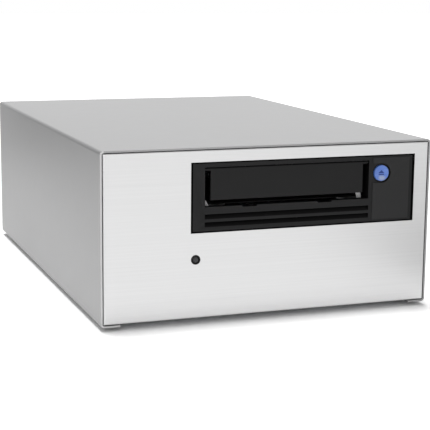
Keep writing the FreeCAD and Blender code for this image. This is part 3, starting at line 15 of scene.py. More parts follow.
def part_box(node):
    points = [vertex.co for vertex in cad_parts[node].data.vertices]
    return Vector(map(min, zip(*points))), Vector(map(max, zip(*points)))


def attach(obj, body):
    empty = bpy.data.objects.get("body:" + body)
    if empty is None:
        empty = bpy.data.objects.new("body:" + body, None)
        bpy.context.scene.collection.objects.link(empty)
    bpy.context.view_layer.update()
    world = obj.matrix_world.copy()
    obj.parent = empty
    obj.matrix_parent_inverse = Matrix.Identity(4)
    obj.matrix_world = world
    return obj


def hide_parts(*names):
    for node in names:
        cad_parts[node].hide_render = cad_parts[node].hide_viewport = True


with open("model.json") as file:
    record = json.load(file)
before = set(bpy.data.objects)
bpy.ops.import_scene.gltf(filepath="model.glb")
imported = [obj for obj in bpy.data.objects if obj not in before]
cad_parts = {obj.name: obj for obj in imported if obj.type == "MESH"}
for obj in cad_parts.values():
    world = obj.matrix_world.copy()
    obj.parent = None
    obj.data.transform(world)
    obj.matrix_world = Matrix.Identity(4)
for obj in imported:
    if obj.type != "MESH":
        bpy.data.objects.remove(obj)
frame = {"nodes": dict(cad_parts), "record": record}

LOG = logging.getLogger("tape_drive")
MM = 0.001
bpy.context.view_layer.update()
MERGE = 0.002 * MM  # points of a CAD mesh that lie nearer are one
SNAP = 0.001 * MM  # points that lie nearer to a cutting plane are on it
FINE = 0.0005 * MM  # both, for small turned pieces
FLAT_TURN = math.radians(0.5)  # faces that turn less are one face
CREASE_TURN = math.radians(30)  # edges that turn more stay sharp in the shading
SHARP_TURN = math.radians(40)  # edges that turn more are rounded
FACING = 0.95  # a normal's share along an axis from which a face looks along it
SIDEWAYS = 0.5  # the share from which a face mainly looks to the side
UPWARD = 0.3  # the share from which a face belongs to a screw head's top
ORDER_DIGITS = 5  # decimals that put a node's solids in order

Colour = tuple[float, float, float]
Outline = Sequence[tuple[float, float]]
Material = bpy.types.Material
Mesh = bmesh.types.BMesh
Piece = bpy.types.Object
Socket = bpy.types.NodeSocket


class Axis(Enum):
    """The axis that a turned piece stands along."""

    X = 0
    Y = 1
    Z = 2

    @property
    def normal(self) -> Vector:
        """Return the unit vector along the axis."""
        return Vector([float(place == self.value) for place in range(3)])

    @property
    def turn(self) -> Matrix:
        """Return the turn that lays an upright piece along the axis.

        Returns:
            The matrix, which is the identity for Z.
        """
        if self is Axis.X:
            return Matrix.Rotation(math.pi / 2, 3, "Y")
        if self is Axis.Y:
            return Matrix.Rotation(-math.pi / 2, 3, "X")
        return Matrix.Identity(3)


class Grain(Enum):
    """How a sheet's surface was worked, in features per metre along X, Y and Z."""

    ACROSS = (18.0, 700.0, 5200.0)
    ALONG = (700.0, 18.0, 5200.0)
    EVEN = (900.0, 900.0, 900.0)


# --- finishes ---

TINT_RANGE = (0.32, 0.68)  # the noise values at which a surface has its two tints
MIX_FACTOR, MIX_FIRST, MIX_SECOND, MIX_COLOUR = 0, 6, 7, 2  # a colour mix's sockets


def set_inputs(node: bpy.types.Node, **values: float | Sequence[float]) -> bpy.types.Node:
    """Set constant inputs of a node; underscores stand for spaces.

    Args:
        node: The node.
        **values: Input names and their values.

    Returns:
        The node.
    """
    for name, value in values.items():
        node.inputs[name.replace("_", " ")].default_value = value
    return node


class Shade:
    """A material's node tree, built with short calls."""

    def __init__(self, name: str) -> None:
        """Start a material with one Principled shader.

        Args:
            name: The material's name.
        """
        self.material = bpy.data.materials.new(name)
        self.material.use_nodes = True
        self.tree = self.material.node_tree
        self.tree.nodes.clear()
        output = self.add("ShaderNodeOutputMaterial")
        self.surface = self.add("ShaderNodeBsdfPrincipled")
        self.link(self.surface.outputs["BSDF"], output.inputs["Surface"])
        self.place = self.add("ShaderNodeTexCoord").outputs["Object"]

    def add(self, kind: str, **values: float | Sequence[float]) -> bpy.types.Node:
        """Return a new node of a kind, with some of its inputs set."""
        return set_inputs(self.tree.nodes.new(kind), **values)

    def link(self, start: Socket, end: Socket) -> None:
        """Link two sockets."""
        self.tree.links.new(start, end)

    def stretched(self, scale: Sequence[float]) -> Socket:
        """Return the object coordinates scaled by a factor on each axis.

        Args:
            scale: Features per metre along X, Y and Z.

        Returns:
            The mapped vector socket.
        """
        mapping = self.add("ShaderNodeMapping", Scale=scale)
        self.link(self.place, mapping.inputs["Vector"])
        return mapping.outputs["Vector"]

    def noise(self, scale: Sequence[float], detail: float = 2.0) -> Socket:
        """Return a noise value from 0 to 1.

        Args:
            scale: Features per metre along X, Y and Z.
            detail: Octaves of finer noise.

        Returns:
            The noise's factor socket.
        """
        noise = self.add("ShaderNodeTexNoise", Scale=1.0, Detail=detail)
        self.link(self.stretched(scale), noise.inputs["Vector"])
        return noise.outputs["Fac"]

    def ranged(
        self, value: Socket, low: float, high: float, start: float = 0.3, stop: float = 0.7
    ) -> Socket:
        """Map a value's useful range to another range.

        Args:
            value: The socket to map.
            low: Result at start.
            high: Result at stop.
            start: Lower end of the source range.
            stop: Upper end of the source range.

        Returns:
            The mapped socket.
        """
        ends = {"From_Min": start, "From_Max": stop, "To_Min": low, "To_Max": high}
        node = self.add("ShaderNodeMapRange", **ends)
        self.link(value, node.inputs["Value"])
        return node.outputs["Result"]

    def tinted(self, value: Socket, colour: Colour, spread: float) -> None:
        """Colour the surface between a darker and a lighter tint of one colour.

        Args:
            value: The socket that chooses between the tints.
            colour: The mean colour.
            spread: How far the tints depart from it, as a share.
        """
        ramp = self.add("ShaderNodeValToRGB")
        for end, place, share in zip(ramp.color_ramp.elements, TINT_RANGE, (-spread, spread)):
            end.position = place
            end.color = (*scaled(colour, 1 + share), 1.0)
        self.link(value, ramp.inputs["Fac"])
        self.link(ramp.outputs["Color"], self.surface.inputs["Base Color"])

    def roughened(self, value: Socket, mean: float, spread: float) -> None:
        """Let the roughness wander with a value.

        Args:
            value: The socket that the roughness follows.
            mean: The mean roughness.
            spread: How far it departs from the mean.
        """
        rough = self.ranged(value, mean - spread, mean + spread)
        self.link(rough, self.surface.inputs["Roughness"])

    def bumped(self, value: Socket, height: float, strength: float = 1.0) -> None:
        """Raise the surface by a value.

        Args:
            value: The height socket, from 0 to 1.
            height: The full height in metres.
            strength: Share of the bump that shows.
        """
        bump = self.add("ShaderNodeBump", Distance=height, Strength=strength)
        self.link(value, bump.inputs["Height"])
        self.link(bump.outputs["Normal"], self.surface.inputs["Normal"])

    def mixed(self, first: Socket, second: Socket, share: float) -> Socket:
        """Return a blend of two values.

        Args:
            first: The value at share 0.
            second: The value at share 1.
            share: How much of the second value shows.

        Returns:
            The blended socket.
        """
        node = self.add("ShaderNodeMix", Factor=share)
        self.link(first, node.inputs["A"])
        self.link(second, node.inputs["B"])
        return node.outputs["Result"]


def scaled(colour: Colour, factor: float) -> Colour:
    """Return a colour, or another three values, times a factor."""
    return (colour[0] * factor, colour[1] * factor, colour[2] * factor)


@dataclass(frozen=True)
class SheetMetal:
    """Bare or plated sheet with a fine worked grain.

    Args:
        name: The material's name.
        colour: The metal's mean colour.
        roughness: Mean roughness.
        grain: The way the surface was worked.
        streak: How far the grain's tint departs from the mean.
        metallic: Share of metal in the reflection.
        depth: Height of the grain in metres.
    """

    name: str
    colour: Colour
    roughness: float = 0.42
    grain: Grain = Grain.EVEN
    streak: float = 0.05
    metallic: float = 1.0
    depth: float = 0.004 * MM

    def material(self) -> Material:
        """Return the finish as a material.

        Returns:
            The material.
        """
        shade = Shade(self.name)
        fine = shade.noise(self.grain.value, detail=3.0)
        broad = shade.noise(scaled(self.grain.value, factor=0.16))
        cloud = shade.noise(scale=(9.0,) * 3, detail=3.0)
        value = shade.mixed(shade.mixed(fine, broad, share=0.4), cloud, share=0.25)
        shade.tinted(value, self.colour, self.streak)
        shade.roughened(value, self.roughness, spread=0.06)
        set_inputs(shade.surface, Metallic=self.metallic)
        shade.bumped(fine, self.depth)
        return shade.material


@dataclass(frozen=True)
class Moulding:
    """Moulded plastic with a fine eroded texture.

    Args:
        name: The material's name.
        colour: The plastic's colour.
        roughness: Mean roughness.
        pitch: Texture features per metre.
        depth: Height of the texture in metres.
        glow: Share of light that passes into the material.
        shine: Strength of the surface reflection.
    """

    name: str
    colour: Colour
    roughness: float = 0.5
    pitch: float = 3800.0
    depth: float = 0.02 * MM
    glow: float = 0.0
    shine: float = 0.5

    def shaded(self) -> Shade:
        """Return the finish's node tree.

        Returns:
            The node tree, with its material.
        """
        shade = Shade(self.name)
        fine = shade.noise((self.pitch,) * 3)
        cloud = shade.noise(scale=(60.0,) * 3, detail=3.0)
        shade.tinted(shade.mixed(fine, cloud, share=0.5), self.colour, spread=0.1)
        shade.roughened(cloud, self.roughness, spread=0.05)
        set_inputs(shade.surface, Subsurface_Weight=self.glow, Subsurface_Scale=2.0 * MM)
        set_inputs(shade.surface, Specular_IOR_Level=self.shine)
        shade.bumped(fine, self.depth, strength=0.6)
        return shade

    def material(self) -> Material:
        """Return the finish as a material."""
        return self.shaded().material


@dataclass(frozen=True)
class PaintedHighlightMoulding(Moulding):
    """Moulded plastic with a painted highlight: one paler spot on its face.

    Args:
        spot: The middle of the painted highlight, in metres.
        pale: The painted highlight's colour.
        reach: Half width and half height of the spot in metres.
    """

    spot: tuple[float, float, float] = (0.0, 0.0, 0.0)
    pale: Colour = (0.8, 0.8, 0.8)
    reach: tuple[float, float] = (3.0 * MM, 2.0 * MM)

    def shaded(self) -> Shade:
        """Return the finish's node tree, with the painted highlight.

        Returns:
            The node tree, with its material.
        """
        shade = super().shaded()
        width, height = self.reach
        mapping = shade.add("ShaderNodeMapping", Location=self.spot, Scale=(width, 1.0, height))
        mapping.vector_type = "TEXTURE"
        shade.link(shade.place, mapping.inputs["Vector"])
        length = shade.add("ShaderNodeVectorMath")
        length.operation = "LENGTH"
        shade.link(mapping.outputs["Vector"], length.inputs[0])
        share = shade.ranged(length.outputs["Value"], low=0.85, high=0.0, start=0.25, stop=1.0)
        share.node.interpolation_type = "SMOOTHSTEP"
        mix = shade.add("ShaderNodeMix")
        mix.data_type = "RGBA"
        base = shade.surface.inputs["Base Color"]
        shade.link(share, mix.inputs[MIX_FACTOR])
        shade.link(base.links[0].from_socket, mix.inputs[MIX_FIRST])
        mix.inputs[MIX_SECOND].default_value = (*self.pale, 1.0)
        shade.link(mix.outputs[MIX_COLOUR], base)
        return shade


@dataclass(frozen=True)
class Board:
    """Circuit board under solder mask, with faint tracks.

    Args:
        name: The material's name.
        colour: The mask's colour.
    """

    name: str
    colour: Colour

    def material(self) -> Material:
        """Return the finish as a material.

        Returns:
            The material.
        """
        shade = Shade(self.name)
        tracks = shade.add("ShaderNodeTexBrick", Scale=1.0, Mortar_Size=0.05)
        for name, tint in (("Color1", 0.8), ("Color2", 1.3), ("Mortar", 2.2)):
            tracks.inputs[name].default_value = (*scaled(self.colour, tint), 1)
        shade.link(shade.stretched(scale=(260.0, 420.0, 300.0)), tracks.inputs["Vector"])
        shade.link(tracks.outputs["Color"], shade.surface.inputs["Base Color"])
        shade.roughened(shade.noise(scale=(400.0,) * 3), mean=0.35, spread=0.07)
        shade.bumped(tracks.outputs["Fac"], height=0.03 * MM)
        return shade.material


def face_middle(node: str, rear: bool = False) -> Vector:
    """Return the middle of the front or rear face of a CAD node's box.

    Args:
        node: The node's name.
        rear: Whether the rear face is meant.

    Returns:
        The point, in metres.
    """
    low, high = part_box(node)
    return Vector(((low.x + high.x) / 2, high.y if rear else low.y, (low.z + high.z) / 2))


def round_size(node: str) -> tuple[float, float]:
    """Return the radius and the length of a CAD node that lies along Y."""
    low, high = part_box(node)
    return (high.x - low.x) / 2, high.y - low.y


# the button's painted highlight: to the right of its middle and under it
BUTTON_HIGHLIGHT_SPOT = tuple(face_middle("eject_button") + Vector((0.3, 0.0, -3.1)) * MM)
FINISHES = {
    "sleeve": SheetMetal("sleeve_aluminium", (0.445, 0.445, 0.448), 0.48, Grain.EVEN, 0.018, 0.38),
    "guard": SheetMetal("guard_zinc", (0.34, 0.345, 0.35), 0.42, Grain.ACROSS, 0.06, 0.7),
    # bare cut edge, paler only at the sleeve's left front corner: a painted highlight
    "painted_edge_highlight": SheetMetal("bare_edge_painted_highlight", (0.78,) * 3, 0.35, Grain.EVEN, 0.03, 0.3),
    "front_panel": SheetMetal(
        "panel_aluminium", (0.69, 0.69, 0.692), 0.42, Grain.ACROSS, 0.05, 0.8,
    ),
    "rear_panel": SheetMetal("rear_aluminium", (0.6, 0.6, 0.61), 0.46, Grain.ACROSS, 0.03),
    "steel": SheetMetal("zinc_steel", (0.56, 0.57, 0.58), 0.36, Grain.EVEN, 0.08),
    "screw": SheetMetal("zinc_screws", (0.5, 0.51, 0.52), 0.3, Grain.EVEN, 0.06),
    "cast": SheetMetal("cast_aluminium", (0.5, 0.5, 0.51), 0.55, Grain.EVEN, 0.1, depth=0.03 * MM),
    "chrome": SheetMetal("bright_steel", (0.74, 0.74, 0.75), 0.2, Grain.ALONG, 0.03),
    "bezel": Moulding("bezel_charcoal", (0.0145, 0.0145, 0.015), 0.55, shine=0.22),
    "raised": Moulding("raised_charcoal", (0.0275, 0.0275, 0.0282), 0.52, shine=0.25),
    # painted shade for the bezel's grooves and the slot's inner faces
    "groove": Moulding("groove_shade", (0.0035, 0.0035, 0.0036), 0.7, shine=0.08),
    # a near-black strip in the gap round the bezel: painted shade
    "gap_shade": Moulding("gap_shade_black", (0.0015,) * 3, 0.9, 1400.0, 0.06 * MM, shine=0.02),
    "door": Moulding("door_charcoal", (0.0125, 0.0125, 0.0128), 0.5, shine=0.2),
    "blued": SheetMetal("blued_steel", (0.012, 0.012, 0.013), 0.65, Grain.EVEN, 0.08, 0.1),
    # the guides: bare metal, with a painted glint in their near-white tone
    "guide": SheetMetal("guide_metal_and_glint", (0.95,) * 3, 0.4, Grain.EVEN, 0.02, 0.1),
    # the tongue's paler tone is a painted highlight on the carriage's front edge
    "tongue": SheetMetal("tongue_painted_highlight", (0.28,) * 3, 0.5, Grain.EVEN, 0.05, 0.1),
    "black": Moulding("black_moulding", (0.01, 0.01, 0.011), 0.42),
    "fan": Moulding("fan_black", (0.013, 0.013, 0.014), 0.45),
    "reel": Moulding("reel_grey", (0.42, 0.43, 0.44), 0.4),
    "rubber": Moulding("foot_rubber", (0.018,) * 3, 0.8, 1600.0, 0.05 * MM),
    # the button's paler spot is a painted highlight
    "button": PaintedHighlightMoulding(
        "button_blue", (0.175, 0.345, 0.98), 0.26, 5200.0, 0.004 * MM, 0.1, 0.7,
        spot=BUTTON_HIGHLIGHT_SPOT, pale=(0.62, 0.72, 1.0), reach=(3.4 * MM, 2.3 * MM),
    ),
    "lens": Moulding("smoked_lens", (0.024, 0.024, 0.026), 0.2, 900.0, 0.004 * MM, 0.1),
    "holder": Moulding("holder_black", (0.006, 0.006, 0.0062), 0.45, shine=0.2),
    "head": Moulding("head_ceramic", (0.035, 0.03, 0.026), 0.14, 900.0, 0.002 * MM),
    "board": Board("board_green", (0.012, 0.07, 0.03)),
    "glyph": Moulding("glyph_blue", (0.05, 0.1, 0.42), 0.4, 5200.0, 0.004 * MM, shine=0.2),
    "contact": SheetMetal("contact_gold", (0.8, 0.55, 0.2), 0.25, Grain.EVEN, 0.04),
}


@dataclass
class Paint:
    """Makes each finish once and hands it out.

    Args:
        made: The materials made so far.
    """

    made: dict[str, Material] = field(default_factory=dict)

    def material(self, finish: str) -> Material:
        """Return a finish's material, made at its first use.

        Args:
            finish: A key of FINISHES.

        Returns:
            The material.
        """
        if finish not in self.made:
            self.made[finish] = FINISHES[finish].material()
        return self.made[finish]

    def give(self, piece: Piece, finish: str) -> None:
        """Give a piece one finish on all its faces.

        Args:
            piece: The piece to dress.
            finish: A key of FINISHES.
        """
        piece.data.materials.clear()
        piece.data.materials.append(self.material(finish))


PAINT = Paint()
BODIES = frame["record"]["behaviour"]["bodies"]
BODY_OF = {node: body for body, nodes in BODIES.items() for node in nodes}
SLOT_OF = {item["node"]: item["material_slot"] for item in frame["record"]["subparts"]}


# --- meshes ---

def finished(mesh: Mesh, name: str) -> Piece:
    """Turn a bmesh into a smooth-shaded object at the origin.

    Args:
        mesh: The bmesh, which is freed.
        name: The object's name.

    Returns:
        The new object.
    """
    data = bpy.data.meshes.new(name)
    mesh.to_mesh(data)
    mesh.free()
    data.shade_smooth()
    data.set_sharp_from_angle(angle=CREASE_TURN)
    piece = bpy.data.objects.new(name, data)
    bpy.context.scene.collection.objects.link(piece)
    return piece


def seat(piece: Piece, nodes: Sequence[str], finish: str | None = None) -> None:
    """Let a piece stand for CAD nodes: it rides with them and takes their slot.

    Args:
        piece: The finished piece.
        nodes: The nodes it replaces, all of one body.
        finish: A key of FINISHES, or None for the slot's own.
    """
    node = nodes[0]
    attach(piece, BODY_OF[node])
    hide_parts(*nodes)
    PAINT.give(piece, finish or SLOT_OF[node])
    LOG.info("%s stands for %s", piece.name, ", ".join(nodes))


def patch(piece: Piece, finish: str, wanted: Callable[[Vector, Vector], bool]) -> None:
    """Give some of a piece's faces a finish of their own.

    Args:
        piece: The piece, already dressed.
        finish: A key of FINISHES.
        wanted: Says of a face's middle and normal whether it takes the finish.
    """
    piece.data.materials.append(PAINT.material(finish))
    slot = len(piece.data.materials) - 1
    faces = [face for face in piece.data.polygons if wanted(face.center, face.normal)]
    for face in faces:
        face.material_index = slot
    LOG.info("%s has %d faces in %s", piece.name, len(faces), finish)


def add_on(piece: Piece, node: str, finish: str) -> None:
    """Let an extra piece ride with a CAD node that something else shows.

    Args:
        piece: The finished piece.
        node: The node whose body it takes.
        finish: A key of FINISHES.
    """
    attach(piece, BODY_OF[node])
    PAINT.give(piece, finish)
    LOG.info("%s is added to %s", piece.name, node)


def node_mesh(node: str) -> Mesh:
    """Return a merged copy of a CAD node's mesh, with its flat faces whole.

    Args:
        node: The node's name.

    Returns:
        The bmesh.
    """
    mesh = bmesh.new()
    mesh.from_mesh(frame["nodes"][node].data)
    bmesh.ops.remove_doubles(mesh, verts=mesh.verts, dist=MERGE)
    bmesh.ops.dissolve_limit(
        mesh, angle_limit=FLAT_TURN, use_dissolve_boundaries=False,
        verts=mesh.verts, edges=mesh.edges, delimit=set(),
    )
    return mesh


def divide(mesh: Mesh, axis: Axis, place: float, near: float = SNAP) -> None:
    """Divide a mesh's faces along a plane that is square to an axis.

    Args:
        mesh: The bmesh.
        axis: The axis.
        place: Where the plane cuts the axis, in metres.
        near: Points that lie nearer to the plane are on it.
    """
    bmesh.ops.bisect_plane(
        mesh, geom=[*mesh.verts, *mesh.edges, *mesh.faces], dist=near,
        plane_co=axis.normal * place, plane_no=axis.normal,
    )


def softened(
    node: str, width: float, segments: int = 2, finish: str | None = None,
    cuts: Sequence[tuple[Axis, float]] = (),
) -> Piece:
    """Show a CAD node with its sharp edges broken.

    Args:
        node: The node's name.
        width: Width of the rounding in metres.
        segments: Faces across each rounding.
        finish: A key of FINISHES, or None for the slot's own.
        cuts: Axis and place of planes that divide the faces, so that a finish can end there.

    Returns:
        The piece.
    """
    mesh = node_mesh(node)
    for axis, place in cuts:
        divide(mesh, axis, place)
    piece = finished(mesh, f"{node}_skin")
    bevel = piece.modifiers.new("edges", "BEVEL")
    bevel.width = width
    bevel.segments = segments
    bevel.limit_method = "ANGLE"
    bevel.angle_limit = SHARP_TURN
    bevel.harden_normals = True
    bevel.use_clamp_overlap = True
    seat(piece, [node], finish)
    return piece


def turned(profile: Outline, centre: Vector, axis: Axis = Axis.Y, steps: int = 64) -> Mesh:
    """Spin a profile round an axis through centre.

    Args:
        profile: Points of radius and height, in metres, from the axis outwards.
        centre: A point on the axis, in metres.
        axis: The axis that the piece stands along.
        steps: Faces round the axis.

    Returns:
        The closed bmesh, with its faces outwards.
    """
    mesh = bmesh.new()
    verts = [mesh.verts.new((radius, 0.0, height)) for radius, height in profile]
    edges = [mesh.edges.new(pair) for pair in zip(verts, verts[1:])]
    bmesh.ops.spin(
        mesh, geom=verts + edges, cent=(0, 0, 0), axis=(0, 0, 1), dvec=(0, 0, 0),
        angle=math.tau, steps=steps, use_merge=True, use_normal_flip=False, use_duplicate=False,
    )
    bmesh.ops.remove_doubles(mesh, verts=mesh.verts, dist=FINE)
    bmesh.ops.holes_fill(mesh, edges=[edge for edge in mesh.edges if edge.is_boundary], sides=0)
    bmesh.ops.recalc_face_normals(mesh, faces=mesh.faces)
    bmesh.ops.rotate(mesh, cent=(0, 0, 0), matrix=axis.turn, verts=mesh.verts)
    bmesh.ops.translate(mesh, vec=centre, verts=mesh.verts)
    return mesh


def block(mesh: Mesh, centre: Sequence[float], size: Sequence[float]) -> None:
    """Add a block to a bmesh.

    Args:
        mesh: The bmesh.
        centre: The block's middle, in metres.
        size: Its width, depth and height, in metres.
    """
    place = Matrix.Translation(centre) @ Matrix.Diagonal((*size, 1))
    bmesh.ops.create_cube(mesh, size=1.0, matrix=place)


def plates(outlines: Iterable[Outline], place: Vector, depth: float) -> Mesh:
    """Make upright flat plates that look to the front.

    Args:
        outlines: Corners of each plate, across and up from place, in metres.
        place: A point of the plates' front faces.
        depth: How thick the plates are.

    Returns:
        The bmesh.
    """
    mesh = bmesh.new()
    for corners in outlines:
        face = mesh.faces.new([mesh.verts.new((across, 0, up)) for across, up in corners])
        made = bmesh.ops.extrude_face_region(mesh, geom=[face])
        verts = [item for item in made["geom"] if isinstance(item, bmesh.types.BMVert)]
        bmesh.ops.translate(mesh, vec=(0, depth, 0), verts=verts)
    bmesh.ops.recalc_face_normals(mesh, faces=mesh.faces)
    bmesh.ops.translate(mesh, vec=place, verts=mesh.verts)
    return mesh


def islands(node: str) -> list[tuple[Vector, Vector]]:
    """Return the box of each loose solid in a CAD node.

    Args:
        node: The node's name.

    Returns:
        Lowest and highest corners, in metres, in order of place.
    """
    mesh = node_mesh(node)
    left = set(mesh.verts)
    boxes = []
    while left:
        group = {left.pop()}
        front = set(group)
        while front:
            near = {edge.other_vert(vert) for vert in front for edge in vert.link_edges}
            front = near - group
            group |= near
        left -= group
        corners = [vert.co.copy() for vert in group]
        low = Vector(min(corner[axis] for corner in corners) for axis in range(3))
        high = Vector(max(corner[axis] for corner in corners) for axis in range(3))
        boxes.append((low, high))
    mesh.free()
    return sorted(boxes, key=lambda box: tuple(round(value, ORDER_DIGITS) for value in box[0]))


# --- sub-assemblies ---

# a pan head's outline, as shares of its radius and height
PAN_HEAD = ((0, 1), (0.35, 1), (0.62, 0.93), (0.86, 0.68), (0.97, 0.34), (1, 0.06), (0.99, 0))


@dataclass
class Screws:
    """Pan-head screws with a cross recess.

    Args:
        head_height: Height of the head.
        recess: Width of each slot of the cross.
        reach: Half length of the cross.
        depth: Depth of the cross.
        shank: Radius of the shank, as a share of the head's.
        point: Radius of the shank's end, as a share of the shank's.
        chamfer: Length of the taper at the shank's end.
    """

    head_height: float = 1.5 * MM
    recess: float = 0.8 * MM
    reach: float = 1.5 * MM
    depth: float = 0.9 * MM
    shank: float = 0.5
    point: float = 0.7
    chamfer: float = 0.2 * MM

    def build(self, node: str, axis: Axis, outward: int) -> None:
        """Make every screw of one node.

        Args:
            node: The node that holds the screws' solids.
            axis: The axis that the screws lie along.
            outward: 1 if the heads look along the axis, -1 if against it.
        """
        whole = bmesh.new()
        for low, high in islands(node):
            mesh = self.screw(low, high, axis, outward)
            data = bpy.data.meshes.new("screw")
            mesh.to_mesh(data)
            mesh.free()
            whole.from_mesh(data)
            bpy.data.meshes.remove(data)
        seat(finished(whole, f"{node}_turned"), [node])

    def screw(self, low: Vector, high: Vector, axis: Axis, outward: int) -> Mesh:
        """Make one screw that fills a box.

        Args:
            low: The solid's lowest corner.
            high: The solid's highest corner.
            axis: The axis that the screw lies along.
            outward: 1 if the head looks along the axis, -1 if against it.

        Returns:
            The screw's bmesh.
        """
        index = axis.value
        size = high - low
        radius = max(size[(index + 1) % 3], size[(index + 2) % 3]) / 2
        shank = radius * self.shank
        crown = self.head_height
        tip = crown - size[index]
        profile = [(radius * out, crown * up) for out, up in PAN_HEAD]
        profile += [(shank, 0), (shank, tip + self.chamfer), (shank * self.point, tip), (0, tip)]
        mesh = turned(profile, Vector(), Axis.Z, steps=32)
        self.cut_cross(mesh)
        flip = Matrix.Identity(3) if outward > 0 else Matrix.Rotation(math.pi, 3, "X")
        bmesh.ops.rotate(mesh, cent=(0, 0, 0), matrix=axis.turn @ flip, verts=mesh.verts)
        place = (low + high) / 2
        place[index] = high[index] - crown if outward > 0 else low[index] + crown
        bmesh.ops.translate(mesh, vec=place, verts=mesh.verts)
        return mesh

    def cut_cross(self, mesh: Mesh) -> None:
        """Sink a cross recess into the head's top.

        Args:
            mesh: The screw's bmesh, head up.
        """
        half = self.recess / 2
        for axis in (Axis.X, Axis.Y):
            for place in (-self.reach, -half, half, self.reach):
                divide(mesh, axis, place, FINE)
        mesh.normal_update()
        picked = []
        for face in mesh.faces:
            centre = face.calc_center_median()
            near, far = sorted((abs(centre.x), abs(centre.y)))
            on_top = centre.z > self.head_height / 2 and face.normal.z > UPWARD
            if near < half and far < self.reach and on_top:
                picked.append(face)
        made = bmesh.ops.extrude_face_region(mesh, geom=picked)
        bmesh.ops.delete(mesh, geom=picked, context="FACES_ONLY")
        for item in made["geom"]:
            if isinstance(item, bmesh.types.BMVert):
                item.co.z = self.head_height - self.depth


SCREW_SETS = (
    ("rear_screws", Axis.Y, 1),
    ("fan_screws", Axis.Y, 1),
    ("front_screws", Axis.Y, 1),
    ("cover_screws", Axis.Z, -1),
    ("drive_screws_left", Axis.X, -1),
    ("drive_screws_right", Axis.X, 1),
)


@dataclass
class Enclosure:
    """The sleeve, the plates and the tray, with their feet and screws.

    Args:
        sheet_edge: Rounding of the sleeve's cut edges.
        panel_edge: Rounding of the front plate's cut edges.
        foot_edge: Rounding of the stick-on feet.
        cut_wall: Reach of the cut edge's painted highlight from the side.
        cut_lip: Its reach along the lip.
        cut_depth: Its reach to the rear.
        screws: How the screws are made.
    """

    sheet_edge: float = 0.22 * MM
    panel_edge: float = 0.15 * MM
    foot_edge: float = 0.6 * MM
    cut_wall: float = 2.3 * MM
    cut_lip: float = 20.0 * MM
    cut_depth: float = 0.5 * MM
    screws: Screws = field(default_factory=Screws)

    def build(self) -> None:
        """Build and dress the enclosure's pieces."""
        self.sleeve()
        softened("front_panel", self.panel_edge)
        softened("rear_panel", self.sheet_edge)
        softened("base_tray", self.sheet_edge)
        for node in [name for name in frame["nodes"] if name.startswith("foot_")]:
            softened(node, self.foot_edge, segments=3)
        for node, axis, outward in SCREW_SETS:
            self.screws.build(node, axis, outward)

    def sleeve(self) -> None:
        """Show the sleeve with a painted highlight on the cut edge at its left front corner."""
        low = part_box("sleeve")[0]
        wall = low.x + self.cut_wall
        lip = low.x + self.cut_lip
        front = low.y + self.cut_depth
        under = low.z + self.cut_wall

        def in_edge_highlight(centre: Vector, _normal: Vector) -> bool:
            """Return whether a face lies in the part of the front edge that takes the painted
            highlight.
            """
            in_corner = centre.x < wall or (centre.x < lip and centre.z < under)
            return centre.y < front and in_corner

        piece = softened("sleeve", self.sheet_edge, cuts=((Axis.X, wall), (Axis.X, lip)))
        patch(piece, "painted_edge_highlight", in_edge_highlight)


@dataclass
class PowerLight:
    """The light's black holder and its smoked lens.

    Args:
        gap: Width of the air gap round the lens.
        step: How far the holder's barrel stands in from its rim.
        inner: The rim's inner side, as distance out from the bore and depth.
        outer: The rim's outer side, as distance in from the edge and depth.
        dome: The lens's face, as shares of its radius, with depths.
    """

    gap: float = 0.03 * MM
    step: float = 0.35 * MM
    inner: Outline = ((0, 0.35 * MM), (0.17 * MM, 0.1 * MM), (0.42 * MM, 0))
    outer: Outline = ((0.25 * MM, 0.05 * MM), (0.05 * MM, 0.22 * MM), (0, 0.5 * MM))
    dome: Outline = (
        (0, 0.02 * MM), (0.5, 0.06 * MM), (0.8, 0.2 * MM), (0.96, 0.45 * MM), (1, 0.8 * MM),
    )

    def build(self) -> None:
        """Build and dress the holder and the lens."""
        radius, length = round_size("led_holder")
        lens, lens_length = round_size("power_led")
        bore, barrel = lens + self.gap, radius - self.step
        centre = face_middle("led_holder")
        profile = [(bore, length)] + [(bore + out, deep) for out, deep in self.inner]
        profile += [(radius - inset, deep) for inset, deep in self.outer]
        profile += [(barrel, self.outer[-1][1]), (barrel, length), (bore, length)]
        piece = finished(turned(profile, centre), "led_holder_turned")
        seat(piece, ["led_holder"], "holder")
        profile = [(lens * out, deep) for out, deep in self.dome]
        profile += [(lens, lens_length), (0, lens_length)]
        seat(finished(turned(profile, centre), "power_led_turned"), ["power_led"])


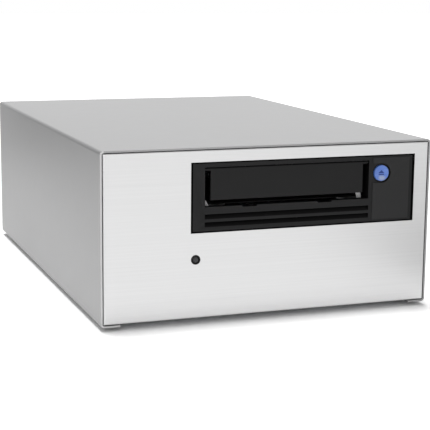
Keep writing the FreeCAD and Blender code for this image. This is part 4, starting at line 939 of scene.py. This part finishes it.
@dataclass
class DriveFront:
    """The bezel, the cartridge door and the eject button.

    Args:
        bezel_edge: Rounding of the bezel's edges.
        door_edge: Rounding of the door's edges.
        step: How far the bezel's main face lies behind its raised panel.
        slack: Least height of the raised panel's faces over the main one.
        panel_left: How far left of the button the raised panel starts.
        glyph: Half width of the eject sign.
        arrow: Foot and point of the sign's triangle, over the button's middle.
        bar: Foot and top of the sign's bar, likewise.
        glyph_back: How far the sign's face lies behind the button's front.
        glyph_depth: Thickness of the sign.
        dish: How deep the button's face is hollowed.
        hollow: Radius of the dish, as a share of the button's.
        rings: Steps from the dish's middle to its edge.
        rim: The button's rounded rim, as shares of its radius, with depths.
        gap_shade_back: How far the strip of painted shade lies behind the panel's face.
        gap_shade_depth: Depth of the strip.
        gap_shade_out: How far it goes beyond the bezel's sides, and beyond its ends.
        gap_shade_in: How far it laps over the bezel's left, right and other edges.
    """

    bezel_edge: float = 0.18 * MM
    door_edge: float = 0.22 * MM
    step: float = 0.45 * MM
    slack: float = 0.1 * MM
    panel_left: float = 1.3 * MM
    glyph: float = 2.1 * MM
    arrow: tuple[float, float] = (-0.15 * MM, 1.75 * MM)
    bar: tuple[float, float] = (-1.3 * MM, -0.65 * MM)
    glyph_back: float = 0.58 * MM
    glyph_depth: float = 0.4 * MM
    dish: float = 0.75 * MM
    hollow: float = 0.9
    rings: int = 8
    rim: Outline = ((0.96, 0.08 * MM), (0.99, 0.3 * MM), (1, 0.6 * MM))
    gap_shade_back: float = 0.36 * MM
    gap_shade_depth: float = 2.0 * MM
    gap_shade_out: tuple[float, float] = (0.58 * MM, 0.36 * MM)
    gap_shade_in: tuple[float, float, float] = (0.7 * MM, 0.9 * MM, 0.45 * MM)

    def build(self) -> None:
        """Build and dress the drive's front."""
        self.bezel()
        self.gap_shade()
        softened("door", self.door_edge)
        self.button()
        self.sign()

    def bezel(self) -> None:
        """Show the bezel with its raised panel lighter and painted shade in its hollows."""
        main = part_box("bezel")[0].y + self.step
        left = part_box("eject_button")[0].x - self.panel_left

        def is_hollow(centre: Vector, normal: Vector) -> bool:
            """Return whether a face lies behind the main face and off the panel's front."""
            return centre.y > main and not (normal.y < -FACING and centre.x > left)

        piece = softened("bezel", self.bezel_edge)
        patch(piece, "raised", lambda centre, _: centre.y < main - self.slack and centre.x > left)
        # faces behind the main face take painted shade
        patch(piece, "groove", is_hollow)

    def gap_shade(self) -> None:
        """Fill the gap round the bezel with a near-black strip of painted shade, behind the
        panel's face.
        """
        low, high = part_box("bezel")
        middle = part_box("front_panel")[0].y + self.gap_shade_back + self.gap_shade_depth / 2
        side, end = self.gap_shade_out
        lap_left, lap_right, lap_end = self.gap_shade_in
        across = (low.x - side, low.x + lap_left, high.x - lap_right, high.x + side)
        up = (low.z - end, low.z + lap_end, high.z - lap_end, high.z + end)
        mesh = bmesh.new()
        for left, right, bottom, top in ((0, 1, 0, 3), (2, 3, 0, 3), (1, 2, 0, 1), (1, 2, 2, 3)):
            centre = ((across[left] + across[right]) / 2, middle, (up[bottom] + up[top]) / 2)
            size = (across[right] - across[left], self.gap_shade_depth, up[top] - up[bottom])
            block(mesh, centre, size)
        add_on(finished(mesh, "bezel_gap_shade"), "bezel", "gap_shade")

    def button(self) -> None:
        """Turn the button with a rounded rim and a slightly dished face."""
        radius, length = round_size("eject_button")
        shares = [ring / self.rings for ring in range(self.rings + 1)]
        profile = [(radius * self.hollow * out, self.dish * (1 - out**2)) for out in shares]
        profile += [(radius * out, deep) for out, deep in self.rim]
        profile += [(radius, length), (0, length)]
        mesh = turned(profile, face_middle("eject_button"), steps=96)
        seat(finished(mesh, "eject_button_turned"), ["eject_button"])

    def sign(self) -> None:
        """Raise the eject sign, a triangle over a bar, on the button's face."""
        half = self.glyph
        foot, point = self.arrow
        base, top = self.bar
        outlines = (
            ((-half, foot), (half, foot), (0, point)),
            ((-half, base), (half, base), (half, top), (-half, top)),
        )
        place = face_middle("eject_button") + Vector((0, self.glyph_back, 0))
        mesh = plates(outlines, place, self.glyph_depth)
        add_on(finished(mesh, "eject_sign"), "eject_button", "glyph")


@dataclass
class RearFittings:
    """The fan with its guard, the mains inlet, the switch and the data ports.

    Args:
        edge: Rounding of the moulded edges.
        guard_edge: Rounding of the fan guard.
        rotor_edge: Rounding of the fan's blades.
        port_edge: Rounding of the data ports.
        fingers: Contact fingers on each side of a port's tongue.
        finger: Width, length and thickness of a finger.
        finger_place: How far fingers lie inside the port's face and off the tongue's middle.
        finger_margin: How much narrower than the port their row is.
        ring: Inner and outer radius of the switch's ring mark.
        bar: Width, thickness and height of its bar mark.
        mark_rise: How far the marks stand off the switch's middle.
        mark_back: How far the ring and the bar lie inside the rocker's box.
    """

    edge: float = 0.25 * MM
    guard_edge: float = 0.3 * MM
    rotor_edge: float = 0.2 * MM
    port_edge: float = 0.12 * MM
    fingers: int = 13
    finger: tuple[float, float, float] = (0.55 * MM, 7 * MM, 0.06 * MM)
    finger_place: tuple[float, float] = (8.2 * MM, 0.53 * MM)
    finger_margin: float = 10.5 * MM
    ring: tuple[float, float] = (1.0 * MM, 1.3 * MM)
    bar: tuple[float, float, float] = (2.4 * MM, 0.3 * MM, 0.4 * MM)
    mark_rise: float = 2.6 * MM
    mark_back: tuple[float, float] = (0.55 * MM, 1.45 * MM)

    def build(self) -> None:
        """Build and dress what the rear panel carries."""
        for node in ("fan_frame", "mains_inlet", "rocker_frame", "rocker"):
            softened(node, self.edge)
        softened("fan_guard", self.guard_edge, finish="guard")
        softened("fan_rotor", self.rotor_edge)
        for node in ("data_port_left", "data_port_right"):
            softened(node, self.port_edge)
            self.contacts(node)
        self.switch_marks()

    def contacts(self, node: str) -> None:
        """Lay gilt contact fingers on a port's tongue.

        Args:
            node: The port's node.
        """
        low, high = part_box(node)
        centre = face_middle(node, rear=True)
        inward, rise = self.finger_place
        span = (high.x - low.x) - self.finger_margin
        mesh = bmesh.new()
        for side in (-1, 1):
            for index in range(self.fingers):
                across = span * (index / (self.fingers - 1) - 0.5)
                block(mesh, centre + Vector((across, -inward, side * rise)), self.finger)
        add_on(finished(mesh, f"{node}_fingers"), node, "contact")

    def switch_marks(self) -> None:
        """Mark the rocker's two halves with a bar and a ring."""
        centre = face_middle("rocker", rear=True)
        inner, outer = self.ring
        thick = self.bar[1]
        profile = ((inner, 0), (outer, 0), (outer, thick), (inner, thick), (inner, 0))
        ring_back, bar_back = self.mark_back
        mesh = turned(profile, centre + Vector((0, -ring_back, self.mark_rise)), steps=32)
        block(mesh, centre - Vector((0, bar_back, self.mark_rise)), self.bar)
        add_on(finished(mesh, "rocker_marks"), "rocker", "reel")


@dataclass
class DriveInside:
    """The mechanism and the electronics behind the bezel.

    Args:
        edge: Rounding of bent and cast edges.
        mouth: Length of the guides at the mouth, bare metal with a painted glint.
        plate: Foot and top of the guides' corner plates over the carriage's underside.
        inset: How far they stand in from the carriage's sides.
        plate_depth: How thick they are.
        gusset_width: Width of the left guide's corner plate at its foot.
        lug_width: Width of the right guide's corner plate.
        lug_lean: How far that plate's top stands back from its foot.
    """

    edge: float = 0.15 * MM
    mouth: float = 5.5 * MM
    plate: tuple[float, float] = (0.8 * MM, 4.3 * MM)
    inset: float = 0.3 * MM
    plate_depth: float = 0.5 * MM
    gusset_width: float = 2.3 * MM
    lug_width: float = 3.0 * MM
    lug_lean: float = 0.9 * MM

    def build(self) -> None:
        """Build and dress the pieces inside the drive."""
        for node in ("loader_frame", "drive_base", "take_up_reel"):
            softened(node, self.edge)
        self.carriage()
        self.corner_plates()

    def carriage(self) -> None:
        """Show the carriage in blued steel; at its mouth the guides' sides are bare metal with a
        painted glint, and the other faces take a painted highlight.
        """
        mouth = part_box("carriage")[0].y + self.mouth
        piece = softened("carriage", self.edge, finish="blued", cuts=((Axis.Y, mouth),))
        for finish, sideways in (("guide", True), ("tongue", False)):
            patch(
                piece, finish,
                lambda centre, normal: centre.y < mouth and (abs(normal.x) > SIDEWAYS) is sideways,
            )

    def corner_plates(self) -> None:
        """Close the lower front corners of the carriage's two guides with small plates."""
        low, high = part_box("carriage")
        base, top = (low.z + height for height in self.plate)
        left, right = low.x + self.inset, high.x - self.inset
        lug, lean = self.lug_width, self.lug_lean
        shapes = {
            "carriage_gusset": ((left, base), (left + self.gusset_width, base), (left, top)),
            "carriage_lug": (
                (right - lug, base), (right, base), (right - lean, top), (right - lean - lug, top),
            ),
        }
        # the corner plates take the guides' painted glint
        for name, corners in shapes.items():
            mesh = plates([corners], Vector((0, low.y, 0)), self.plate_depth)
            add_on(finished(mesh, name), "carriage", "guide")


def dress_rest() -> None:
    """Give every CAD node that still shows the finish of its slot."""
    for node, piece in frame["nodes"].items():
        if not piece.hide_render:
            PAINT.give(piece, SLOT_OF[node])
            LOG.info("%s shows as built", node)


# --- studio ---

@dataclass(frozen=True)
class Lamp:
    """A broad, far studio light that falls evenly on the whole set.

    Args:
        name: The light's name.
        turn: Degrees that it stands round from the front, to the right.
        rise: Degrees that it stands over the floor.
        spread: Degrees that its face spans, which softens its shadows.
        power: Its strength in watts per square metre.
    """

    name: str
    turn: float
    rise: float
    spread: float
    power: float

    def build(self) -> None:
        """Hang the light."""
        data = bpy.data.lights.new(self.name, "SUN")
        data.angle = math.radians(self.spread)
        data.energy = self.power
        turn, rise = math.radians(self.turn), math.radians(self.rise)
        reach = math.cos(rise)
        start = Vector((math.sin(turn) * reach, -math.cos(turn) * reach, math.sin(rise)))
        lamp = bpy.data.objects.new(self.name, data)
        lamp.location = start
        lamp.rotation_euler = start.to_track_quat("Z", "Y").to_euler()
        bpy.context.scene.collection.objects.link(lamp)


@dataclass(frozen=True)
class Flag:
    """A grey card that only glossy surfaces see.

    Args:
        name: The card's name.
        middle: Its middle, in metres.
        width: Its width across the set.
        height: Its height, or its depth if it lies.
        grey: How light it is.
        lies: Whether it lies on the floor.
    """

    name: str
    middle: tuple[float, float, float]
    width: float
    height: float
    grey: float
    lies: bool = False

    def build(self) -> None:
        """Stand the card up."""
        mesh = bmesh.new()
        turn = 0.0 if self.lies else math.pi / 2
        place = Matrix.Translation(self.middle) @ Matrix.Rotation(turn, 4, "X")
        size = Matrix.Diagonal((self.width, self.height, 1.0, 1.0))
        bmesh.ops.create_grid(mesh, x_segments=1, y_segments=1, size=0.5, matrix=place @ size)
        card = finished(mesh, self.name)
        shade = Shade(f"{self.name}_grey")
        set_inputs(shade.surface, Base_Color=(self.grey, self.grey, self.grey, 1.0))
        card.data.materials.append(shade.material)
        card.visible_camera = card.visible_diffuse = card.visible_shadow = False


@dataclass
class Studio:
    """The floor, the world, the lamps and the cards.

    Args:
        ambient: Strength of the even light from all round.
        floor_glow: How much brighter than plain white the floor looks.
        floor_reach: Half the floor's width in metres.
        lamps: The soft lamps.
        flags: The grey cards.
    """

    ambient: float = 0.25
    floor_glow: float = 1.58
    floor_reach: float = 6.0
    lamps: tuple[Lamp, ...] = (
        Lamp("key", -40.0, 30.0, 60.0, 0.13),
        Lamp("top", -173.0, 81.0, 17.0, 1.92),
    )
    flags: tuple[Flag, ...] = (
        Flag("flag_left", (-0.615, 0.34, 0.54), 0.87, 1.0, 0.03),
        Flag("flag_right", (0.36, -0.3, 0.003), 0.46, 0.22, 0.4, True),
    )

    def build(self) -> None:
        """Set up the floor, the world and the lamps."""
        self.world()
        self.floor()
        for item in (*self.lamps, *self.flags):
            item.build()
        bpy.context.scene.view_settings.view_transform = "Standard"

    def world(self) -> None:
        """Make a world that looks white and lights the scene evenly."""
        world = bpy.data.worlds.new("studio")
        bpy.context.scene.world = world
        self.mix(
            world, "ShaderNodeOutputWorld",
            ("ShaderNodeBackground", {"Color": (1, 1, 1, 1), "Strength": self.ambient}),
            ("ShaderNodeBackground", {"Color": (1, 1, 1, 1), "Strength": 1.0}),
        )

    def floor(self) -> None:
        """Lay a pale floor that keeps the object's shadow."""
        mesh = bmesh.new()
        bmesh.ops.create_grid(mesh, x_segments=1, y_segments=1, size=self.floor_reach)
        floor = finished(mesh, "floor")
        material = bpy.data.materials.new("floor_white")
        self.mix(
            material, "ShaderNodeOutputMaterial",
            ("ShaderNodeBsdfDiffuse", {"Color": (0.8, 0.8, 0.8, 1)}),
            ("ShaderNodeBsdfDiffuse", {"Color": (self.floor_glow,) * 3 + (1,)}),
        )
        floor.data.materials.append(material)

    @staticmethod
    def mix(owner: bpy.types.ID, end: str, *shaders: tuple[str, dict[str, object]]) -> None:
        """Give a world or a material one shader that lights and one that shows.

        Args:
            owner: The world or the material.
            end: The kind of the output node.
            *shaders: Kind and inputs of the shader that lights, then of the one that a
                camera, a gloss or a glass sees.
        """
        owner.use_nodes = True
        tree = owner.node_tree
        tree.nodes.clear()
        output = tree.nodes.new(end)
        mix = tree.nodes.new("ShaderNodeMixShader")
        for place, (kind, values) in enumerate(shaders, 1):
            shader = set_inputs(tree.nodes.new(kind), **values)
            tree.links.new(shader.outputs[0], mix.inputs[place])
        path = tree.nodes.new("ShaderNodeLightPath")
        shown = path.outputs["Is Camera Ray"]
        for name in ("Is Glossy Ray", "Is Transmission Ray"):
            most = tree.nodes.new("ShaderNodeMath")
            most.operation = "MAXIMUM"
            tree.links.new(shown, most.inputs[0])
            tree.links.new(path.outputs[name], most.inputs[1])
            shown = most.outputs[0]
        tree.links.new(shown, mix.inputs["Fac"])
        tree.links.new(mix.outputs[0], output.inputs["Surface"])


@dataclass(frozen=True)
class Viewpoint:
    """The camera, placed from the middle of the sleeve's front edge at the table.

    Args:
        side: How far left of the middle it stands.
        back: How far in front of the front it stands.
        height: Its height over the table.
        yaw: Degrees that it looks to the right.
        pitch: Degrees that it looks down.
        roll: Degrees that it leans.
        lens: Focal length in millimetres.
        sensor: Width of the sensor in millimetres.
    """

    side: float = 295.7 * MM
    back: float = 707.0 * MM
    height: float = 206.55 * MM
    yaw: float = 20.11
    pitch: float = 10.54
    roll: float = 0.57
    lens: float = 106.97
    sensor: float = 36.0

    def build(self) -> None:
        """Set the camera up and make it the scene's own."""
        data = bpy.data.cameras.new("view")
        data.lens = self.lens
        data.sensor_width = self.sensor
        camera = bpy.data.objects.new("view", data)
        camera.location = (-self.side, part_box("sleeve")[0].y - self.back, self.height)
        yaw, pitch, roll = (math.radians(value) for value in (self.yaw, self.pitch, self.roll))
        level = math.cos(pitch)
        ahead = Vector((math.sin(yaw) * level, math.cos(yaw) * level, -math.sin(pitch)))
        right = Vector((math.cos(yaw), -math.sin(yaw), 0))
        over = right.cross(ahead)
        side = right * math.cos(roll) + over * math.sin(roll)
        top = over * math.cos(roll) - right * math.sin(roll)
        basis = Matrix((side, top, -ahead)).transposed()
        camera.rotation_euler = basis.to_euler()
        bpy.context.scene.collection.objects.link(camera)
        bpy.context.scene.camera = camera


def write_sizes() -> None:
    """Bring the scene's placements up to date."""
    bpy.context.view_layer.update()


def main() -> None:
    """Build every sub-assembly in order, dress the rest and set up the studio."""
    logging.basicConfig(level=logging.INFO, format="%(name)s: %(message)s")
    for assembly in (Enclosure(), PowerLight(), DriveFront(), RearFittings(), DriveInside()):
        LOG.info("building %s", type(assembly).__name__)
        assembly.build()
    dress_rest()
    Studio().build()
    Viewpoint().build()
    write_sizes()


if __name__ == "__main__":
    main()
